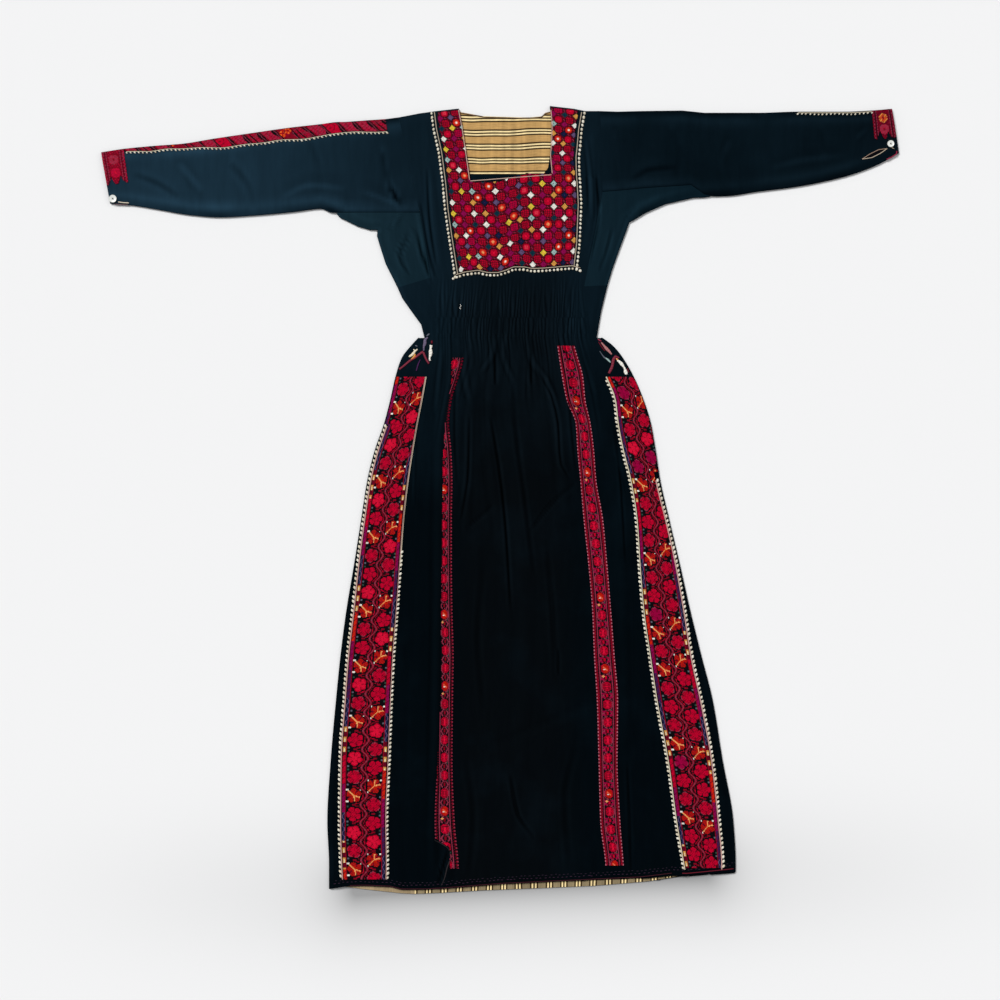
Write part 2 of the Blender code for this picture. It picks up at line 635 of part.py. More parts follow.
def main():
    for item in list(bpy.data.objects):
        bpy.data.objects.remove(item, do_unlink=True)
    thobe = bpy.data.collections.new("palestinian_thobe")
    bpy.context.scene.collection.children.link(thobe)
    make_bodice()
    make_skirt()
    make_side("left", end_drop=1351)
    make_side("right", end_drop=1327)
    wrapped("gusset_left", GUSSET_LEFT, TEAL)
    wrapped("gusset_right", GUSSET_RIGHT, TEAL)
    wrapped("side_bodice_left", SIDE_LEFT, NAVY)
    wrapped("side_bodice_right", SIDE_RIGHT, NAVY)
    make_left_sleeve()
    make_right_sleeve()
    make_button("button_left", BUTTON_LEFT)
    make_button("button_right", BUTTON_RIGHT)
    make_piping("slit_piping_left", SLIT_LEFT, closed=False)
    make_piping("slit_piping_right", SLIT_RIGHT, closed=True)


main()
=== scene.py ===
import math

import bmesh
import bpy
import numpy as np
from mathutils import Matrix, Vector


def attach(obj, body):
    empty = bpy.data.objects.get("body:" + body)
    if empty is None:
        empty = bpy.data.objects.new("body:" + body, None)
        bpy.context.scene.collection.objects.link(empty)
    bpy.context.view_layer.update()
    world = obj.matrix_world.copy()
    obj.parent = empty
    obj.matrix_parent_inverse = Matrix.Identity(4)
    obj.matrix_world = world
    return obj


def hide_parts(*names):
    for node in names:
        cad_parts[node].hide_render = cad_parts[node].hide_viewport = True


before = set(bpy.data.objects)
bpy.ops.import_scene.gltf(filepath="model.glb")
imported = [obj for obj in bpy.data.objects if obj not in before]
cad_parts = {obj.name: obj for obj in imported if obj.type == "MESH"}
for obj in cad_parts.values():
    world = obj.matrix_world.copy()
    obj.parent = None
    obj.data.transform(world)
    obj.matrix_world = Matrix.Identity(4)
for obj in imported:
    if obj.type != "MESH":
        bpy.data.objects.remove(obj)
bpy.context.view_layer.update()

bl_info = {
    "name": "Palestinian thobe",
    "version": (1, 0, 0),
    "blender": (4, 5, 0),
    "location": "View3D > Sidebar > Thobe",
    "description": "Cloth, embroidery, braid and small things of a thobe that lies flat",
    "category": "Object",
}

MM = 0.001

# ---- the cut, in millimetres: x runs right, drop runs down from the top of the shoulders ----
SHOULDER_Y = 689  # half the length from shoulder to hem
CLOTH = 1.4
FRONT_INSIDE = 3.6
FRONT_FACE = 5
FOLD_RADIUS = 2.5
FOLD_INSIDE = 1.1
SHOULDER_TURN = 15
HALF_GAP = 0.04  # half a seam's gap between two cloths
SEWN_ON = 0.3  # from the front's face up to what is sewn on it
WAIST = 406
LAST_STRAIGHT = 1327  # the skirt's rows are level down to here, then run into the hem
HEM_RUN = 33
BELOW_HEM = 1400

SKIRT_COLUMNS = ("drop", "edge_left", "braid_left", "lace_left", "seam_left", "narrow_left_out",
                 "narrow_left_in", "narrow_right_in", "narrow_right_out", "seam_right", "lace_right",
                 "braid_right", "edge_right")
SKIRT_SECTIONS = (
    (406, -143, -137, -123, -117, -85, -67, 98, 127, 158, 162, 171, 179),
    (420, -156, -151, -123, -116, -85, -65, 100, 130, 161, 166, 191, 198),
    (441, -172, -166, -124, -116, -85, -64, 103, 136, 166, 172, 206, 215),
    (474, -183, -178, -129, -121, -85, -72, 108, 145, 175, 184, 228, 234),
    (514, -192, -187, -136, -126, -90, -84, 116, 149, 191, 200, 246, 251),
    (556, -203, -198, -144, -131, -96, -89, 132, 158, 196, 205, 258, 264),
    (602, -219, -214, -152, -136, -99, -85, 135, 164, 203, 214, 267, 272),
    (654, -232, -227, -160, -140, -101, -83, 140, 168, 214, 227, 274, 280),
    (724, -243, -238, -168, -144, -101, -84, 146, 180, 226, 238, 291, 296),
    (800, -255, -248, -174, -147, -102, -84, 154, 187, 231, 243, 308, 314),
    (884, -269, -257, -180, -152, -103, -83, 161, 194, 233, 250, 323, 333),
    (961, -279, -266, -186, -158, -103, -81, 164, 200, 233, 261, 335, 352),
    (1040, -287, -272, -190, -161, -104, -82, 169, 206, 233, 273, 352, 372),
    (1143, -296, -279, -194, -166, -109, -83, 172, 205, 233, 292, 371, 389),
    (1251, -302, -280, -198, -170, -114, -79, 175, 210, 235, 307, 383, 408),
    (1327, -299, -278, -197, -170, -111, -72, 184, 216, 237, 320, 389, 412),
    (1360, -299, -276, -198, -170, -110, -71, 185, 218, 238, 326, 389, 412),
)
SECTIONS = {name: [row[column] for row in SKIRT_SECTIONS] for column, name in enumerate(SKIRT_COLUMNS)}
# (x, drop) along both hems
FRONT_HEM = ((-299, 1369), (-272, 1364), (-234, 1363), (-191, 1365), (-172, 1370), (-128, 1370),
             (-74, 1366), (2, 1360), (91, 1356), (242, 1349), (301, 1342), (326, 1343), (412, 1335))
BACK_HEM = ((-299, 1369), (-274, 1365), (-243, 1369), (-208, 1373), (-172, 1377), (-149, 1378),
            (-102, 1376), (-35, 1372), (91, 1367), (163, 1364), (259, 1356), (324, 1345), (412, 1335))

# (drop, x) down the bodice's seams, the chest panel's sides and the sides of the neck
SEAM_LEFT = ((20, -177), (187, -140), (301, -121), (406, -117))
SEAM_RIGHT = ((9, 175), (151, 179), (316, 147), (406, 158))
CHEST_LEFT = ((10, -120), (42, -116), (82, -107), (136, -100), (182, -96), (224, -90), (302, -78), (406, -85))
CHEST_RIGHT = ((8, 145), (42, 139), (89, 135), (136, 139), (172, 141), (242, 138), (295, 132), (406, 127))
NECK_LEFT = ((4, -72), (40, -65), (87, -58), (130, -52), (299, -35), (406, -42))
NECK_RIGHT = ((0, 87), (33, 90), (66, 89), (87, 87), (119, 90), (299, 91), (406, 90))
# the front's columns are counted from seam to seam, and each rail stands at one of them
LAST_COLUMN = 34
NECK_COLUMNS = (9, 25)
BODICE_RAILS = (SEAM_LEFT, CHEST_LEFT, NECK_LEFT, NECK_RIGHT, CHEST_RIGHT, SEAM_RIGHT)
BODICE_STOPS = (0, 4, 9, 25, 30, 34)
SKIRT_RAILS = ("seam_left", "narrow_left_out", "narrow_left_in", "narrow_right_in", "narrow_right_out",
               "seam_right")
SKIRT_STOPS = (0, 4, 6, 26, 30, 34)
# (x, drop) along the shoulders and the back neck
SHOULDER = ((-177, 20), (-140, 13), (-110, 9), (-74, 5), (87, 0), (129, 5), (149, 9), (175, 9))
BACK_NECK = ((-74, 10), (-57, 13), (-30, 18), (35, 20), (52, 20), (73, 18), (79, 12), (87, 10))
# rows of the bodice, as drops at the left and the right seam
CHEST_LINES = ((48, 37), (92, 78), (136.8, 112.6), (187, 151), (243, 226), (301, 297),
               (315, 316), (334, 334), (359, 359), (382, 382), (406, 406))
NECK_LINE = 2  # the line at the foot of the neck opening
BACK_LINES = ((187, 151), (301, 316), (406, 406))
# (x, drop) along the foot of the chest panel
CHEST_HEM = ((-82, 303), (-77, 301), (-61, 296), (-38, 293), (-21, 297), (-3, 297), (10, 293), (24, 287),
             (42, 287), (57, 290), (79, 289), (101, 287), (126, 285), (140, 289))

# stations along a folded edge: x and drop at the seam, x and drop at the edge
GUSSETS = {
    "left": (
        (-284, 187, -284, 190), (-282, 187, -278, 196), (-248, 187, -248, 211), (-215, 187, -228, 217),
        (-175, 187, -214, 217), (-140, 187, -215, 228), (-133.3, 227, -210, 245), (-126.6, 267, -200, 276),
        (-121, 301, -179, 318),
    ),
    "right": (
        (366, 157, 368.4, 158.4), (357, 155, 357, 160.4), (334, 139, 338, 161), (289, 142, 289, 172),
        (248, 145, 255, 187), (206, 149, 234, 200), (179, 151, 226, 204), (171.4, 190, 221, 219),
        (160.8, 245, 210, 248), (153, 285, 197, 284), (147, 316, 188, 314),
    ),
}
SIDE_BODICES = {
    "left": (
        (-121, 301, -179, 318), (-119.7, 334, -171, 336), (-118.8, 359, -154, 360), (-117.9, 382, -138, 382),
        (-117, 406, -132, 406),
    ),
    "right": (
        (147, 316, 188, 314), (149.2, 334, 183, 334), (152.3, 359, 177, 359), (155.1, 382, 173, 382),
        (158, 406, 169, 406),
    ),
}
# stations from the cuff to the bodice: x and drop at the top fold, x and drop at the underside
SLEEVES = {
    "left": (
        (-697, 81, -681, 171), (-658, 75, -644, 174), (-607, 70, -595, 182), (-555, 66, -542, 191),
        (-499, 57, -490, 195), (-438, 48, -432, 192), (-368, 38, -364, 186), (-315, 32, -313, 180),
        (-280, 28, -293, 186.5), (-271, 28, -284, 187), (-231, 25, -220, 187), (-200, 23, -178, 187),
        (-177, 20, -140, 187),
    ),
    "right": (
        (685, 5, 697, 83), (649, 8, 658, 104), (604, 10, 609, 122), (560, 10, 564, 133), (520, 10, 522, 141),
        (452, 12, 452, 150), (388, 12, 390, 158), (364, 12, 366, 157), (357, 12, 357, 155), (318, 8, 334, 139),
        (245, 9, 248, 145), (206, 10, 206, 149), (175, 9, 179, 151),
    ),
}
FREE_STATIONS = {"left": 8, "right": 7}  # those with no gusset or bodice under them
SLEEVE_BAND = (5, 5, 8.5, 9.1, 14.5, 19, 21.5, 20.1, 18.5, 18, 21.9, 21.9, 21.9)  # its width at the left stations
BUTTONS = {"left": (-676, 163), "right": (682, 67)}
SLIT_LEFT = ((-666.5, 168.5), (-658, 169.8), (-648, 170.3))
SLIT_RIGHT = ((632, 94), (645, 85.5), (661, 77.5), (676, 75.5), (664, 84), (649, 91.5), (632, 94))
NECK_FACING_LEFT = -90
NECK_FACING_RIGHT = ((5, 91), (77, 89), (108, 84), (119, 76))  # (drop, x)
HEM_FACING_ENDS = (-274, 324)
HEM_FACING_WIDTH = 24

# ---- gathers, folds and creases: (drop, height), or width, height and a path of (x, drop) ----
GATHERS = ((292, 0), (314, 0.6), (334, 1.7), (350, 2.4), (368, 2.4), (372, 1.3), (377, 2.3), (396, 2.1),
           (416, 1.1), (444, 0.4), (480, 0.1), (520, 0))
WAIST_FOLDS = ((296, 0.2), (330, 0.9), (372, 0.7), (398, 1.5), (430, 2), (480, 1.4), (540, 0.8), (610, 0.3), (680, 0))
FOLDS = (
    (26, 4.5, (-101, 480), (-108, 602), (-111, 900), (-120, 1330)), (30, 4, (-20, 430), (-22, 560), (3, 790)),
    (26, 3.6, (-45, 450), (-56, 560), (-62, 760)), (30, 4.6, (70, 450), (98, 560), (112, 720)),
    (44, 3.4, (30, 640), (42, 900), (26, 1180)), (34, 4.6, (-92, 1260), (-100, 1380)),
    (30, 3, (204, 700), (212, 900), (216, 1150)), (24, 2.6, (-128, 100), (-116, 200), (-101, 310)),
    (20, 2.2, (160, 50), (160, 150), (150, 250)), (17, 3.8, (-56, 424), (-62, 462), (-52, 524)),
    (15, 3.4, (-38, 470), (-16, 440), (-9, 404)), (15, 3.6, (10, 396), (6, 432), (24, 486)),
    (17, 4.2, (48, 404), (54, 443), (80, 480), (98, 530)), (14, 3, (106, 418), (120, 470), (126, 530)),
    (14, 2.8, (-102, 424), (-106, 470), (-114, 540)),
)
CREASES = (
    (11, -3.4, (-17, 545), (0, 648), (10, 744), (18, 880)), (11, -3.1, (-54, 540), (-56, 640), (-68, 724)),
    (14, -3.1, (52, 432), (54, 488)), (10, -3.4, (68, 465), (91, 511), (101, 557), (105, 623), (119, 650)),
    (15, -2.9, (131, 660), (91, 693), (51, 744)), (15, -2.4, (-12, 698), (-62, 740)),
    (11, -2.7, (-9, 430), (-9, 490)), (26, -2.6, (158, 1043), (60, 1085), (-35, 1127)),
    (14, -2.7, (17, 1169), (31, 1239), (59, 1278)), (11, -2, (101, 948), (102, 996)),
    (12, -4.1, (-91, 1300), (-110, 1364)), (16, -2.4, (20, 470), (26, 560), (44, 700), (58, 820)),
    (11, -2, (-78, 470), (-80, 560), (-76, 660)), (11, -2, (118, 480), (124, 560), (132, 640)),
    (21, -1.7, (-30, 800), (-40, 930), (-30, 1060)), (19, -1.9, (80, 760), (92, 900), (96, 1010)),
    (21, -2, (130, 1120), (112, 1210), (120, 1330)), (21, -2, (-60, 1140), (-48, 1240), (-56, 1350)),
    (9, -1.7, (200, 560), (212, 680), (218, 800)), (11, -1.7, (222, 1150), (226, 1250), (228, 1340)),
    (8, 1.4, (-150, 560), (-152, 700)), (11, -2.4, (-128, 110), (-124, 190), (-112, 280)),
    (11, -2, (-139, 170), (-128, 240), (-113, 300)), (11, -1.8, (-150, 210), (-136, 262), (-118, 312)),
    (11, -2.2, (168, 120), (172, 190), (158, 270)), (12, 2.2, (150, 60), (158, 140), (160, 200)),
    (12, 2.2, (-175, 190), (-190, 214)), (14, -2.4, (-205, 80), (-196, 130), (-172, 180)),
    (15, 0.8, (-240, 150), (-200, 165), (-160, 182)), (20, -0.8, (-330, 60), (-318, 110), (-316, 160)),
    (18, 0.7, (-380, 160), (-330, 140), (-270, 146)), (22, -0.7, (-470, 100), (-440, 140), (-430, 180)),
    (22, 0.7, (-560, 100), (-520, 150)), (18, -0.6, (-640, 120), (-600, 135), (-560, 160)),
    (18, 0.9, (200, 40), (206, 90), (212, 140)), (18, -0.8, (230, 130), (262, 112), (310, 108)),
    (22, -0.8, (300, 40), (312, 90), (306, 130)), (20, 0.8, (400, 60), (388, 100), (392, 140)),
    (18, 0.6, (470, 110), (530, 96), (600, 88)), (20, -0.6, (560, 40), (566, 84)), (14, 0.5, (620, 60), (640, 40)),
    (12, -1.9, (-160, 225), (-175, 262), (-160, 296)), (12, -1.9, (195, 215), (186, 252), (172, 290)),
)
BACK_CREASES = (
    (40, 1.2, (-60, 60), (-40, 200), (-50, 330)), (36, 1.1, (40, 80), (60, 210), (52, 320)),
    (44, 1.4, (-110, 430), (-140, 700), (-170, 980)), (50, 1.3, (-30, 470), (-40, 760), (-20, 1100)),
    (46, 1.4, (60, 450), (90, 720), (120, 980)), (44, 1.2, (150, 520), (200, 800), (232, 1120)),
    (36, 1.1, (-220, 900), (-236, 1130), (-240, 1300)), (40, 1, (20, 1060), (40, 1220), (30, 1330)),
    (14, 1.2, (-90, 330), (-84, 400), (-96, 470)), (12, 1.2, (-50, 334), (-48, 402), (-56, 480)),
    (13, 1.3, (-8, 336), (-6, 404), (-10, 470)), (12, 1.2, (34, 334), (36, 402), (40, 482)),
    (13, 1.3, (76, 336), (80, 402), (90, 476)), (14, 1.1, (118, 334), (124, 402), (138, 470)),
    (26, 1, (-600, 110), (-480, 130), (-380, 118)), (24, 1.2, (-330, 70), (-300, 120), (-240, 150)),
    (26, 1, (330, 60), (420, 84), (520, 70)), (22, 1.2, (230, 60), (240, 110), (300, 118)),
)


# ---- reading the tables ----
def straight(points, at):
    places, values = zip(*points)
    return np.interp(at, places, values)


def flow(stops, values, at):
    """Values at `at` on a smooth line through (stops, values) that never overshoots them."""
    stops, values, at = (np.asarray(part, float) for part in (stops, values, at))
    steps = np.diff(stops)
    slopes = np.diff(values) / steps
    product = slopes[1:] * slopes[:-1]
    total = slopes[1:] + slopes[:-1]
    inner = np.where(product > 0, 2 * product / np.where(product > 0, total, 1.0), 0.0)
    tangents = np.r_[slopes[0], inner, slopes[-1]]
    spot = np.clip(np.searchsorted(stops, at, side="right") - 1, 0, len(steps) - 1)
    run = steps[spot]
    t = np.clip((at - stops[spot]) / run, 0, 1)
    return ((2 * t ** 3 - 3 * t ** 2 + 1) * values[spot] + (t ** 3 - 2 * t ** 2 + t) * run * tangents[spot]
            + (3 * t ** 2 - 2 * t ** 3) * values[spot + 1] + (t ** 3 - t ** 2) * run * tangents[spot + 1])


def rail(name, drop):
    return flow(SECTIONS["drop"], SECTIONS[name], drop)


def ease(share):
    share = np.clip(share, 0, 1)
    return share * share * (3 - 2 * share)


def spread_rails(rails, stops, at):
    """x at column place `at`, on straight runs between rails that lie at `stops`."""
    rails = np.stack([np.broadcast_to(line, np.shape(at)) for line in rails])
    spot = np.clip(np.searchsorted(stops, at, side="right") - 1, 0, len(stops) - 2)
    stops = np.asarray(stops, float)
    share = (at - stops[spot]) / (stops[spot + 1] - stops[spot])
    low = np.take_along_axis(rails, spot[None], 0)[0]
    high = np.take_along_axis(rails, spot[None] + 1, 0)[0]
    return low + (high - low) * share


def bodice_x(column, drop):
    return spread_rails([straight(line, drop) for line in BODICE_RAILS], BODICE_STOPS, column)


def skirt_x(column, drop):
    return spread_rails([rail(name, drop) for name in SKIRT_RAILS], SKIRT_STOPS, column)


def column_at(x, drop):
    """Which column of the front a place lies in, below 0 left of it and above LAST_COLUMN right of it."""
    upper = [straight(line, drop) for line in BODICE_RAILS]
    lower = [rail(name, drop) for name in SKIRT_RAILS]
    place = np.full(np.shape(x), -1.0)
    for rails, stops, here in ((upper, BODICE_STOPS, drop < WAIST), (lower, SKIRT_STOPS, drop >= WAIST)):
        for left, right, start, end in zip(rails, rails[1:], stops, stops[1:]):
            share = (x - left) / np.maximum(right - left, 1)
            place = np.where(here & (x >= left) & (x <= right), start + share * (end - start), place)
        place = np.where(here & (x > rails[-1]), LAST_COLUMN + 1, place)
    return place


def from_line(x, drop, points):
    """Distance of each place from a line of (x, drop) points, and how far along the line it lies, 0 to 1."""
    best, along = np.full(np.shape(x), 1e9), np.zeros(np.shape(x))
    lengths = [math.dist(a, b) for a, b in zip(points, points[1:])]
    done = 0.0
    for (ax, ad), (bx, bd), length in zip(points, points[1:], lengths):
        t = ((x - ax) * (bx - ax) + (drop - ad) * (bd - ad)) / max(length, 1e-6) ** 2
        held = np.clip(t, 0, 1)
        away = np.hypot(x - ax - held * (bx - ax), drop - ad - held * (bd - ad))
        nearer = away < best
        best = np.where(nearer, away, best)
        along = np.where(nearer, (done + held * length) / sum(lengths), along)
        done += length
    return best, along


def smooth_path(points, pieces=24):
    """The same path with its corners rounded."""
    points = np.asarray(points, float)
    lengths = np.r_[0, np.cumsum(np.hypot(*np.diff(points, axis=0).T))]
    at = np.linspace(0, lengths[-1], pieces)
    return np.c_[flow(lengths, points[:, 0], at), flow(lengths, points[:, 1], at)]


def ridges(x, drop, table):
    height = np.zeros(np.shape(x))
    for width, crest, *path in table:
        away, along = from_line(x, drop, smooth_path(path, 9) if len(path) > 2 else path)
        run = np.sqrt(np.sin(np.pi * along) + 1e-6)
        height += crest * run * np.cos(np.clip(2 * away / width, 0, 1) * np.pi / 2) ** 2
    return height


OUTLINES = [[row[:2] for row in SLEEVES["left"]] + list(SHOULDER[1:4]),
            list(SHOULDER[4:]) + [row[:2] for row in reversed(SLEEVES["right"])]]
for side in ("left", "right"):
    stations = SLEEVES[side][:FREE_STATIONS[side]] + GUSSETS[side] + SIDE_BODICES[side][1:]
    edge = SECTIONS["edge_" + side]
    OUTLINES.append([row[2:] for row in stations] + list(zip(edge, SECTIONS["drop"])) + [(edge[-1], BELOW_HEM)])


def from_edge(x, drop):
    return np.minimum.reduce([from_line(x, drop, line)[0] for line in OUTLINES])


def gathers(x, drop):
    """Fine lengthwise crests drawn together at the waist, and the wider folds they open into."""
    place = column_at(x, drop)
    inside = ease(place / 2) * ease((LAST_COLUMN - place) / 2) * (place >= 0) * (place <= LAST_COLUMN)
    ragged = drop - 9 * np.sin(2.7 * place)
    uneven_foot = np.where(drop > WAIST, drop + 34 * np.sin(1.7 * place + 0.5), drop)
    total = 0.0
    for table, often, at, sharp in ((GATHERS, 1.42, ragged, 1.2), (WAIST_FOLDS, 0.41, uneven_foot, 0.6)):
        phase = place * often + 0.34 * np.sin(1.6 * place + often) + 0.16 * np.sin(drop / 37 + 1.3 * place) \
            + 0.20 * np.sin(drop / 15 + 2.6 * place) * (drop < 400) + 0.3 * (drop > 372)
        crest = (0.5 - 0.5 * np.cos(2 * np.pi * phase)) ** sharp
        uneven = 0.55 + 0.45 * np.sin(1.3 * place + 3 * often) * np.cos(0.7 * place + drop / 27)
        total = total + straight(table, at) * uneven * crest
    return total * inside


def sway(x, drop):
    """The slow unevenness of cloth that has been laid down by hand."""
    return (0.45 * np.sin(x / 43 + drop / 97) + 0.40 * np.sin(x / 29 - drop / 131 + 1.0)
            + 0.28 * np.sin(x / 17 + drop / 61 + 2.2) + 0.20 * np.sin(x / 11 - drop / 47))


def on_chest(x, drop):
    left, right = straight(CHEST_LEFT, drop), straight(CHEST_RIGHT, drop)
    return ease((x - left) / 10) * ease((right - x) / 10) * ease((300 - drop) / 14)


def front_lift(x, drop):
    """How far the front stands up above its flat level."""
    x, drop = np.broadcast_arrays(np.asarray(x, float), np.asarray(drop, float))
    calm = 1 - 0.7 * on_chest(x, drop)
    lift = gathers(x, drop) + calm * (0.7 * ridges(x, drop, FOLDS) + ridges(x, drop, CREASES) + 2.0 + sway(x, drop))
    return np.clip(lift, 0, None) * ease(from_edge(x, drop) / 18)


def back_lift(x, drop):
    lift = ridges(x, drop, BACK_CREASES) + np.clip(0.4 * sway(x, drop), 0, None)
    return np.minimum(lift, 1.7) * ease(from_edge(x, drop) / 20)


def front_top(x, drop):
    return FRONT_FACE + front_lift(x, drop)


# ---- making meshes ----
def in_frame(x, drop, z):
    return np.stack(np.broadcast_arrays(x * MM, (SHOULDER_Y - drop) * MM, z * MM), -1).reshape(-1, 3)


def quads(rows, columns, keep=None, flip=False):
    """Faces of a grid of rows x columns points. They face up where rows run down the dress and columns right."""
    spots = np.arange(rows * columns).reshape(rows, columns)
    corners = np.stack((spots[:-1, :-1], spots[1:, :-1], spots[1:, 1:], spots[:-1, 1:]), -1)
    faces = corners[keep] if keep is not None else corners.reshape(-1, 4)
    return faces[:, ::-1] if flip else faces


def make_mesh(name, points, faces, smooth=True):
    """A mesh of its used points only. Returns it with the number of each kept point."""
    used, order = np.unique(faces, return_inverse=True)
    mesh = bpy.data.meshes.new(name)
    mesh.vertices.add(len(used))
    mesh.vertices.foreach_set("co", points[used].astype(np.float32).ravel())
    mesh.loops.add(faces.size)
    mesh.loops.foreach_set("vertex_index", order.astype(np.int32).ravel())
    mesh.polygons.add(len(faces))
    mesh.polygons.foreach_set("loop_start", np.arange(len(faces), dtype=np.int32) * 4)
    mesh.update(calc_edges=True)
    mesh.polygons.foreach_set("use_smooth", np.full(len(faces), smooth))
    mesh.update()
    return mesh, used


def paint_mesh(mesh, uv, threads):
    """Gives each corner its place in the thread's pattern and its thread's colour."""
    mesh.uv_layers.new(name="UVMap").uv.foreach_set("vector", uv.astype(np.float32).ravel())
    colours = np.c_[threads, np.ones(len(threads))].astype(np.float32)
    mesh.color_attributes.new("thread", "FLOAT_COLOR", "CORNER").data.foreach_set("color", colours.ravel())


def add_piece(name, mesh, finish, slot, *replaced):
    piece = bpy.data.objects.new(name, mesh)
    bpy.context.scene.collection.objects.link(piece)
    mesh.materials.append(finish_named(finish))
    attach(piece, "root")
    if replaced:
        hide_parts(*replaced)
    return piece


def draw_back_edges(shape):
    """Pull every free edge back along the cloth, so neighbours lie a seam gap apart."""
    shape.normal_update()
    moves = {}
    for edge in shape.edges:
        if edge.is_boundary:
            edge.smooth = False
            face = edge.link_faces[0]
            along = (edge.verts[1].co - edge.verts[0].co).normalized()
            inward = face.normal.cross(along)
            if inward.dot(face.calc_center_median() - edge.verts[0].co) < 0:
                inward.negate()
            for vert in edge.verts:
                moves.setdefault(vert, []).append(inward)
    for vert, ways in moves.items():
        total = ways[0] + ways[-1]
        vert.co += total * (2 * HALF_GAP * MM / max(total.dot(total), 0.5))


def crests(x, z):
    """How far each place stands above the cloth within 5 mm on either side: 0 in a valley, 1 on a crest. It sets the
    painted shade in valleys and the painted highlight on crests of the cloth's colour.
    """
    around, count = np.zeros(x.shape), np.zeros(x.shape)
    for away in range(-5, 6):
        spots = np.clip(np.arange(x.shape[1]) + away, 0, x.shape[1] - 1)
        near = abs(x[:, spots] - x) < 5
        around += np.where(near, z[:, spots], 0)
        count += near
    return np.clip(0.5 + 0.5 * (z - around / count), 0, 1).ravel()


def sew_cloth(node, x, drop, z, finish, slot="cloth", thickness=CLOTH, keep=None, flip=False, weld=False,
              replaces=True):
    """A thin shell of cloth over a grid of places on its inner side, in place of the part's node."""
    name = node + "_cloth"
    mesh, used = make_mesh(name, in_frame(x, drop, z), quads(*x.shape, keep, flip))
    # the crest attribute carries the painted shade of fold valleys and the painted highlight of fold crests
    mesh.attributes.new("crest", "FLOAT", "POINT").data.foreach_set("value", crests(x, z)[used].astype(np.float32))
    piece = add_piece(name, mesh, finish, slot, *([node] if replaces else ()))
    shape = bmesh.new()
    shape.from_mesh(mesh)
    if weld:
        bmesh.ops.remove_doubles(shape, verts=shape.verts[:], dist=HALF_GAP * MM)
    draw_back_edges(shape)
    shape.to_mesh(mesh)
    shape.free()
    mesh.update()
    wall = piece.modifiers.new("wall", "SOLIDIFY")
    wall.thickness = thickness * MM
    wall.offset = 1
    return piece


def steps(*runs):
    """Numbers from run to run: steps(0, (10, 5), (20, 2)) is 0..10 in 5 steps, then to 20 in 2."""
    values = [float(runs[0])]
    for end, count in runs[1:]:
        values += list(np.linspace(values[-1], end, count + 1)[1:])
    return np.array(values)


# ---- the cloth ----
FOLD_TURNS = np.radians(np.arange(0, 181, 15))


def fold_walls(inner, edge, count):
    """From a seam on the front, round the folded edge, to the same seam on the back. Rows of points."""
    way = inner - edge
    way /= np.hypot(*way.T)[:, None]
    shares = np.linspace(0, 1, count)[:, None, None]
    front = inner + (edge + way * FOLD_RADIUS - inner) * shares
    turns = FOLD_TURNS[1:-1]
    arc = edge + way * (FOLD_RADIUS - FOLD_INSIDE * np.sin(turns))[:, None, None]
    x, drop = np.concatenate((front, arc, front[::-1])).transpose(2, 1, 0)
    level = np.r_[np.full(count, FRONT_INSIDE), FOLD_RADIUS + FOLD_INSIDE * np.cos(turns), np.full(count, CLOTH)]
    z = np.broadcast_to(level, x.shape).copy()
    z[:, :count] += front_lift(x[:, :count], drop[:, :count])
    z[:, -count:] += back_lift(x[:, -count:], drop[:, -count:])
    return x, drop, z


def skirt_rows(*runs):
    """Drops of a skirt piece's rows, and how far each has run into the hem, 0 to 1."""
    level = steps(WAIST, *runs)
    ends = np.r_[np.zeros(len(level)), np.linspace(0, 1, 6)[1:]]
    return np.r_[level, LAST_STRAIGHT + ends[-5:] * HEM_RUN], ends[:, None]


def run_to_hem(x, drop, ends, hem):
    return drop + ends * (straight(hem, x) - LAST_STRAIGHT - ends * HEM_RUN)


def skirt_grid(columns, place, hem):
    rows, ends = skirt_rows((606, 50), (860, 60), (LAST_STRAIGHT, 75))
    across, drop = np.meshgrid(columns, rows)
    x = place(across, drop)
    return x, run_to_hem(x, drop, ends, hem)


def make_skirt_front():
    x, drop = skirt_grid(np.linspace(0, LAST_COLUMN, 205), skirt_x, FRONT_HEM)
    sew_cloth("skirt_front", x, drop, FRONT_INSIDE + front_lift(x, drop), "navy_sateen")


def make_skirt_back():
    def place(share, drop):
        left, right = rail("seam_left", drop), rail("seam_right", drop)
        return left + (right - left) * share

    x, drop = (grid[::2] for grid in skirt_grid(np.linspace(0, 1, 61), place, BACK_HEM))
    sew_cloth("skirt_back", x, drop, CLOTH + back_lift(x, drop), "navy_sateen", flip=True)


def make_side_panel(side):
    rows, ends = skirt_rows((606, 34), (LAST_STRAIGHT, 70))
    seam, edge = (np.c_[rail(line + side, rows), rows] for line in ("seam_", "edge_"))
    x, drop, z = fold_walls(seam, edge, 34)
    middle = x.shape[1] // 2
    drop = np.hstack((run_to_hem(x[:, :middle], drop[:, :middle], ends, FRONT_HEM),
                      run_to_hem(x[:, middle:], drop[:, middle:], ends, BACK_HEM)))
    sew_cloth("side_panel_" + side, x, drop, z, "navy_sateen", flip=side == "left")


def make_wrapped(node, stations, finish, slot):
    """A small piece folded round the side, its stations filled in straight from one to the next."""
    stations = np.array(stations, float)
    gaps = np.diff(stations, axis=0)
    length = np.maximum(np.hypot(*gaps[:, :2].T), np.hypot(*gaps[:, 2:].T))
    at = steps(0, *[(i + 1, max(2, int(run / 7))) for i, run in enumerate(length)])
    full = np.stack([np.interp(at, np.arange(len(stations)), column) for column in stations.T], 1)
    x, drop, z = fold_walls(full[:, :2], full[:, 2:], 16)
    sew_cloth(node, x, drop, z, finish, slot, flip=node.endswith("left"))


